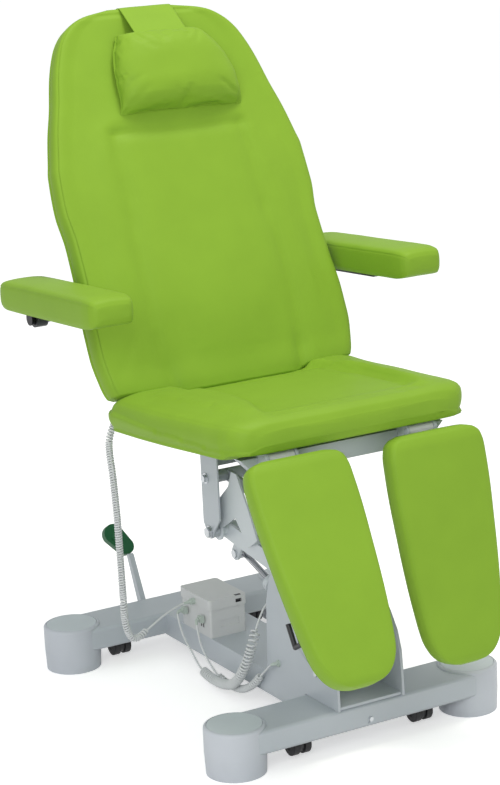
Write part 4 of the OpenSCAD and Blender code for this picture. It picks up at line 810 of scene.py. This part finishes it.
def make_flap():
    """Flap: rings of two layers, an inner one 0.15 mm off the line (depth, height) over the top of
    the back and an outer one off by the thickness, a slow wave and a curl at its sides."""
    knots = np.asarray(FLAP_LINE, float)
    line = shares(np.c_[np.arange(len(knots)), knots], np.linspace(0, len(knots) - 1, 110))
    d = np.gradient(line, axis=0)
    d /= np.linalg.norm(d, axis=1, keepdims=True)
    normal = np.stack([-d[:, 1], d[:, 0]], -1)
    across = np.linspace(0, 1, 41)
    x = FLAP_LEFT + (FLAP_RIGHT - FLAP_LEFT) * across
    curl = 0.45 * np.abs(2 * across - 1) ** 6
    rings = []
    for k in range(len(line)):
        wave = 0.3 * noise_field(np.stack([x, np.full_like(x, 4.0 * k)], -1), 60, 9)
        outer = line[k] + np.outer(FLAP_T + wave - curl, normal[k])
        inner = line[k] + np.outer(np.full_like(x, 0.15), normal[k])
        rings.append(np.c_[np.r_[x, x[::-1]], np.vstack([outer, inner[::-1]])])
    piece = loft("pillow_flap", on_back(np.array(rings)), VINYL, bulge=0.2)
    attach(piece, "back")
    return piece


# Pads of the legs and arms

PAD_SECTION = [(-0.955, 0.08), (-0.99, 0.25), (-1, 0.5), (-0.985, 0.76), (-0.945, 0.91),
               (-0.86, 0.975), (-0.5, 0.995), (0, 1), (0.5, 0.995), (0.86, 0.975), (0.945, 0.91),
               (0.985, 0.76), (1, 0.5), (0.99, 0.25), (0.955, 0.08), (0.86, 0), (0, 0), (-0.86, 0)]
LEG_OUTLINE = [(0, 0.66), (0.012, 0.83), (0.04, 0.945), (0.1, 0.995), (0.2, 1), (0.45, 0.955),
               (0.62, 0.905), (0.78, 0.83), (0.87, 0.765), (0.93, 0.655), (0.97, 0.51),
               (0.99, 0.36), (1, 0.2)]
LEG_THICK = [(0, 0.6), (0.02, 0.88), (0.06, 1), (0.9, 1), (0.96, 0.95), (0.99, 0.8), (1, 0.55)]
LEG_W, LEG_T, LEG_X, LEG_OFF, LEG_GAP = 219, 44, 155, 4.5, 13
# Start and end down the leg, left and right
LEG_SPAN = {-1: (12, 449), 1: (5, 453)}
LEG_HINGE = np.array([0, -370, 600.0])
LEG_LEAN = {-1: 30, 1: 13}


def make_leg_pad(side, name):
    """Leg pad: rings (x, depth) carried down the leg, turned by its lean about the hinge."""
    t = crowded(130)
    wide = shares(LEG_OUTLINE, t)[:, 0:1]
    thick = LEG_T * shares(LEG_THICK, t)
    ring = closed_ring(PAD_SECTION, 8)
    share = ring[None, :, 1] * np.ones((len(t), 1))
    x = ring[None, :, 0] * wide * LEG_W / 2
    start, end = LEG_SPAN[side]
    z = np.repeat((-start - t * (end - start))[:, None], x.shape[1], 1)
    plan = np.stack([x, z], -1)
    front = step_up(share, 0.8, 0.97)
    crown = 1 - (x / (LEG_W / 2)) ** 2
    groove = hump(np.abs(share - 0.86) * LEG_T, 1.2) * (np.abs(ring[None, :, 0]) > 0.9)
    x = x * (1 - 0.006 * groove)
    out = share * thick + front * (1.5 * crown - 1.2 + 0.5 * noise_field(plan, 150, 7 + side))
    y = -LEG_GAP - (LEG_T - thick) / 4 - out
    a = -math.radians(LEG_LEAN[side])
    c, s = math.cos(a), math.sin(a)
    local = np.stack([side * LEG_X + LEG_OFF + x, y * c - z * s, y * s + z * c], -1)
    piece = loft(name + "_cover", local + LEG_HINGE, VINYL, bulge=1.5)
    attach(piece, "leg_slide_" + ("left" if side < 0 else "right"))
    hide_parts(name)
    return piece


ARM_OUTLINE = [(0, 0.72), (0.012, 0.86), (0.04, 0.96), (0.1, 1), (0.3, 1), (0.7, 1), (0.9, 1),
               (0.96, 0.96), (0.988, 0.86), (1, 0.72)]
ARM_THICK = [(0, 0.45), (0.01, 0.68), (0.04, 0.88), (0.1, 0.98), (0.3, 1), (0.9, 1), (0.96, 0.9),
             (0.99, 0.7), (1, 0.45)]
ARM_SECTION = [(-0.93, 0.06), (-0.985, 0.2), (-1, 0.45), (-0.985, 0.72), (-0.93, 0.885),
               (-0.8, 0.965), (-0.45, 0.995), (0, 1), (0.45, 0.995), (0.8, 0.965), (0.93, 0.885),
               (0.985, 0.72), (1, 0.45), (0.985, 0.2), (0.93, 0.06), (0.8, 0), (0, 0), (-0.8, 0)]
ARM_X, ARM_W, ARM_L, ARM_T, ARM_Z, ARM_FRONT = 350, 99, 430, 63, 829, -117
ARM_SLOPE = math.tan(math.radians(3))


def make_arm_pad(side, name):
    """Armrest pad: rings (x, z) carried forward along y, with a sewn line round its upper edge."""
    t = crowded(120)
    wide = shares(ARM_OUTLINE, t)[:, 0:1]
    thick = ARM_T * shares(ARM_THICK, t)
    ring = closed_ring(ARM_SECTION, 8)
    share = ring[None, :, 1] * np.ones((len(t), 1))
    x = ring[None, :, 0] * wide * ARM_W / 2
    y = np.repeat((ARM_FRONT + ARM_L * (1 - t))[:, None], x.shape[1], 1)
    low = ARM_Z - (y - ARM_FRONT) * ARM_SLOPE
    top = step_up(share, 0.8, 0.97)
    groove = hump(np.abs(share - 0.80) * ARM_T, 1.3) * (np.abs(ring[None, :, 0]) > 0.85)
    x = x * (1 - 0.016 * groove)
    crown = 1 - (x / (ARM_W / 2)) ** 2
    soft = 1.8 * crown - 1.5 + 0.5 * noise_field(np.stack([x, y], -1), 120, 3)
    z = low + ARM_T / 2 - thick / 2 + share * thick + top * soft
    piece = loft(name + "_cover", np.stack([side * (ARM_X + x), y, z], -1), VINYL, bulge=1.5)
    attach(piece, "armrest_" + ("left" if side < 0 else "right"))
    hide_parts(name)
    return piece


seat = make_seat()
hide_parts("seat_cushion")
back = make_back()
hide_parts("back_cushion")
pillow = make_pillow()
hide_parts("head_pillow")
flap = make_flap()
for side, name in ((-1, "left"), (1, "right")):
    make_leg_pad(side, "leg_pad_" + name)
    make_arm_pad(side, "armrest_pad_" + name)


# Studio


FLOOR_HALF, FLOOR_GREY, FLOOR_GLOW = 30.0, 0.85, 0.5
ROOM_TINT, ROOM_POWER = (0.965, 0.985, 1, 1), 0.62


def make_floor():
    """Pale floor: diffuse, and a little brighter to the camera and in reflections, so that only the
    shadow shows."""
    half = FLOOR_HALF
    mesh = bpy.data.meshes.new("floor")
    corners = [(-half, -half, 0), (half, -half, 0), (half, half, 0), (-half, half, 0)]
    mesh.from_pydata(corners, [], [(0, 1, 2, 3)])
    floor = bpy.data.objects.new("floor", mesh)
    bpy.context.scene.collection.objects.link(floor)
    m = bpy.data.materials.new("floor_white")
    m.use_nodes = True
    nodes, links = m.node_tree.nodes, m.node_tree.links
    nodes.clear()
    ray = nodes.new("ShaderNodeLightPath")
    seen = nodes.new("ShaderNodeMath")
    seen.operation = "MAXIMUM"
    links.new(ray.outputs["Is Camera Ray"], seen.inputs[0])
    links.new(ray.outputs["Is Glossy Ray"], seen.inputs[1])
    glow = nodes.new("ShaderNodeEmission")
    amount = nodes.new("ShaderNodeMath")
    amount.operation = "MULTIPLY"
    amount.inputs[1].default_value = FLOOR_GLOW
    links.new(seen.outputs[0], amount.inputs[0])
    links.new(amount.outputs[0], glow.inputs["Strength"])
    paint = nodes.new("ShaderNodeBsdfDiffuse")
    paint.inputs["Color"].default_value = (FLOOR_GREY, FLOOR_GREY, FLOOR_GREY, 1)
    both = nodes.new("ShaderNodeAddShader")
    links.new(glow.outputs[0], both.inputs[0])
    links.new(paint.outputs[0], both.inputs[1])
    out = nodes.new("ShaderNodeOutputMaterial")
    links.new(both.outputs[0], out.inputs["Surface"])
    mesh.materials.append(m)


# Lamps: name, place, what they aim at, side length in metres, watts, colour
LAMPS = [("key_lamp", (-2.9, -3.3, 2.6), (0, 0, 0.6), 2.2, 72, (1, 1, 1)),
         ("fill_lamp", (0.5, -0.35, 4.3), (0, 0, 0.7), 1.2, 70, (1, 0.95, 0.84))]


def make_lights():
    """A pale room, white to the camera, and the lamps, each turned to what it aims at."""
    world = bpy.data.worlds.new("studio")
    bpy.context.scene.world = world
    world.use_nodes = True
    nodes, links = world.node_tree.nodes, world.node_tree.links
    ground = nodes["Background"]
    ground.inputs["Color"].default_value = ROOM_TINT
    ground.inputs["Strength"].default_value = ROOM_POWER
    plain = nodes.new("ShaderNodeBackground")
    plain.inputs["Color"].default_value = (1, 1, 1, 1)
    plain.inputs["Strength"].default_value = 1.0
    ray = nodes.new("ShaderNodeLightPath")
    mix = nodes.new("ShaderNodeMixShader")
    links.new(ray.outputs["Is Camera Ray"], mix.inputs["Fac"])
    links.new(ground.outputs[0], mix.inputs[1])
    links.new(plain.outputs[0], mix.inputs[2])
    links.new(mix.outputs[0], nodes["World Output"].inputs["Surface"])
    for name, at, aim, size, power, tint in LAMPS:
        lamp = bpy.data.lights.new(name, "AREA")
        lamp.size, lamp.energy, lamp.color = size, power, tint
        holder = bpy.data.objects.new(name, lamp)
        bpy.context.scene.collection.objects.link(holder)
        away = np.array(at, float) - np.array(aim, float)
        away /= np.linalg.norm(away)
        side = np.cross([0, 0, 1.0], away)
        side /= np.linalg.norm(side)
        turn = np.eye(4)
        turn[:3, :3] = np.stack([side, np.cross(away, side), away], 1)
        turn[:3, 3] = at
        holder.matrix_world = Matrix(turn.tolist())


make_floor()
make_lights()
bpy.context.scene.view_settings.view_transform = "Standard"
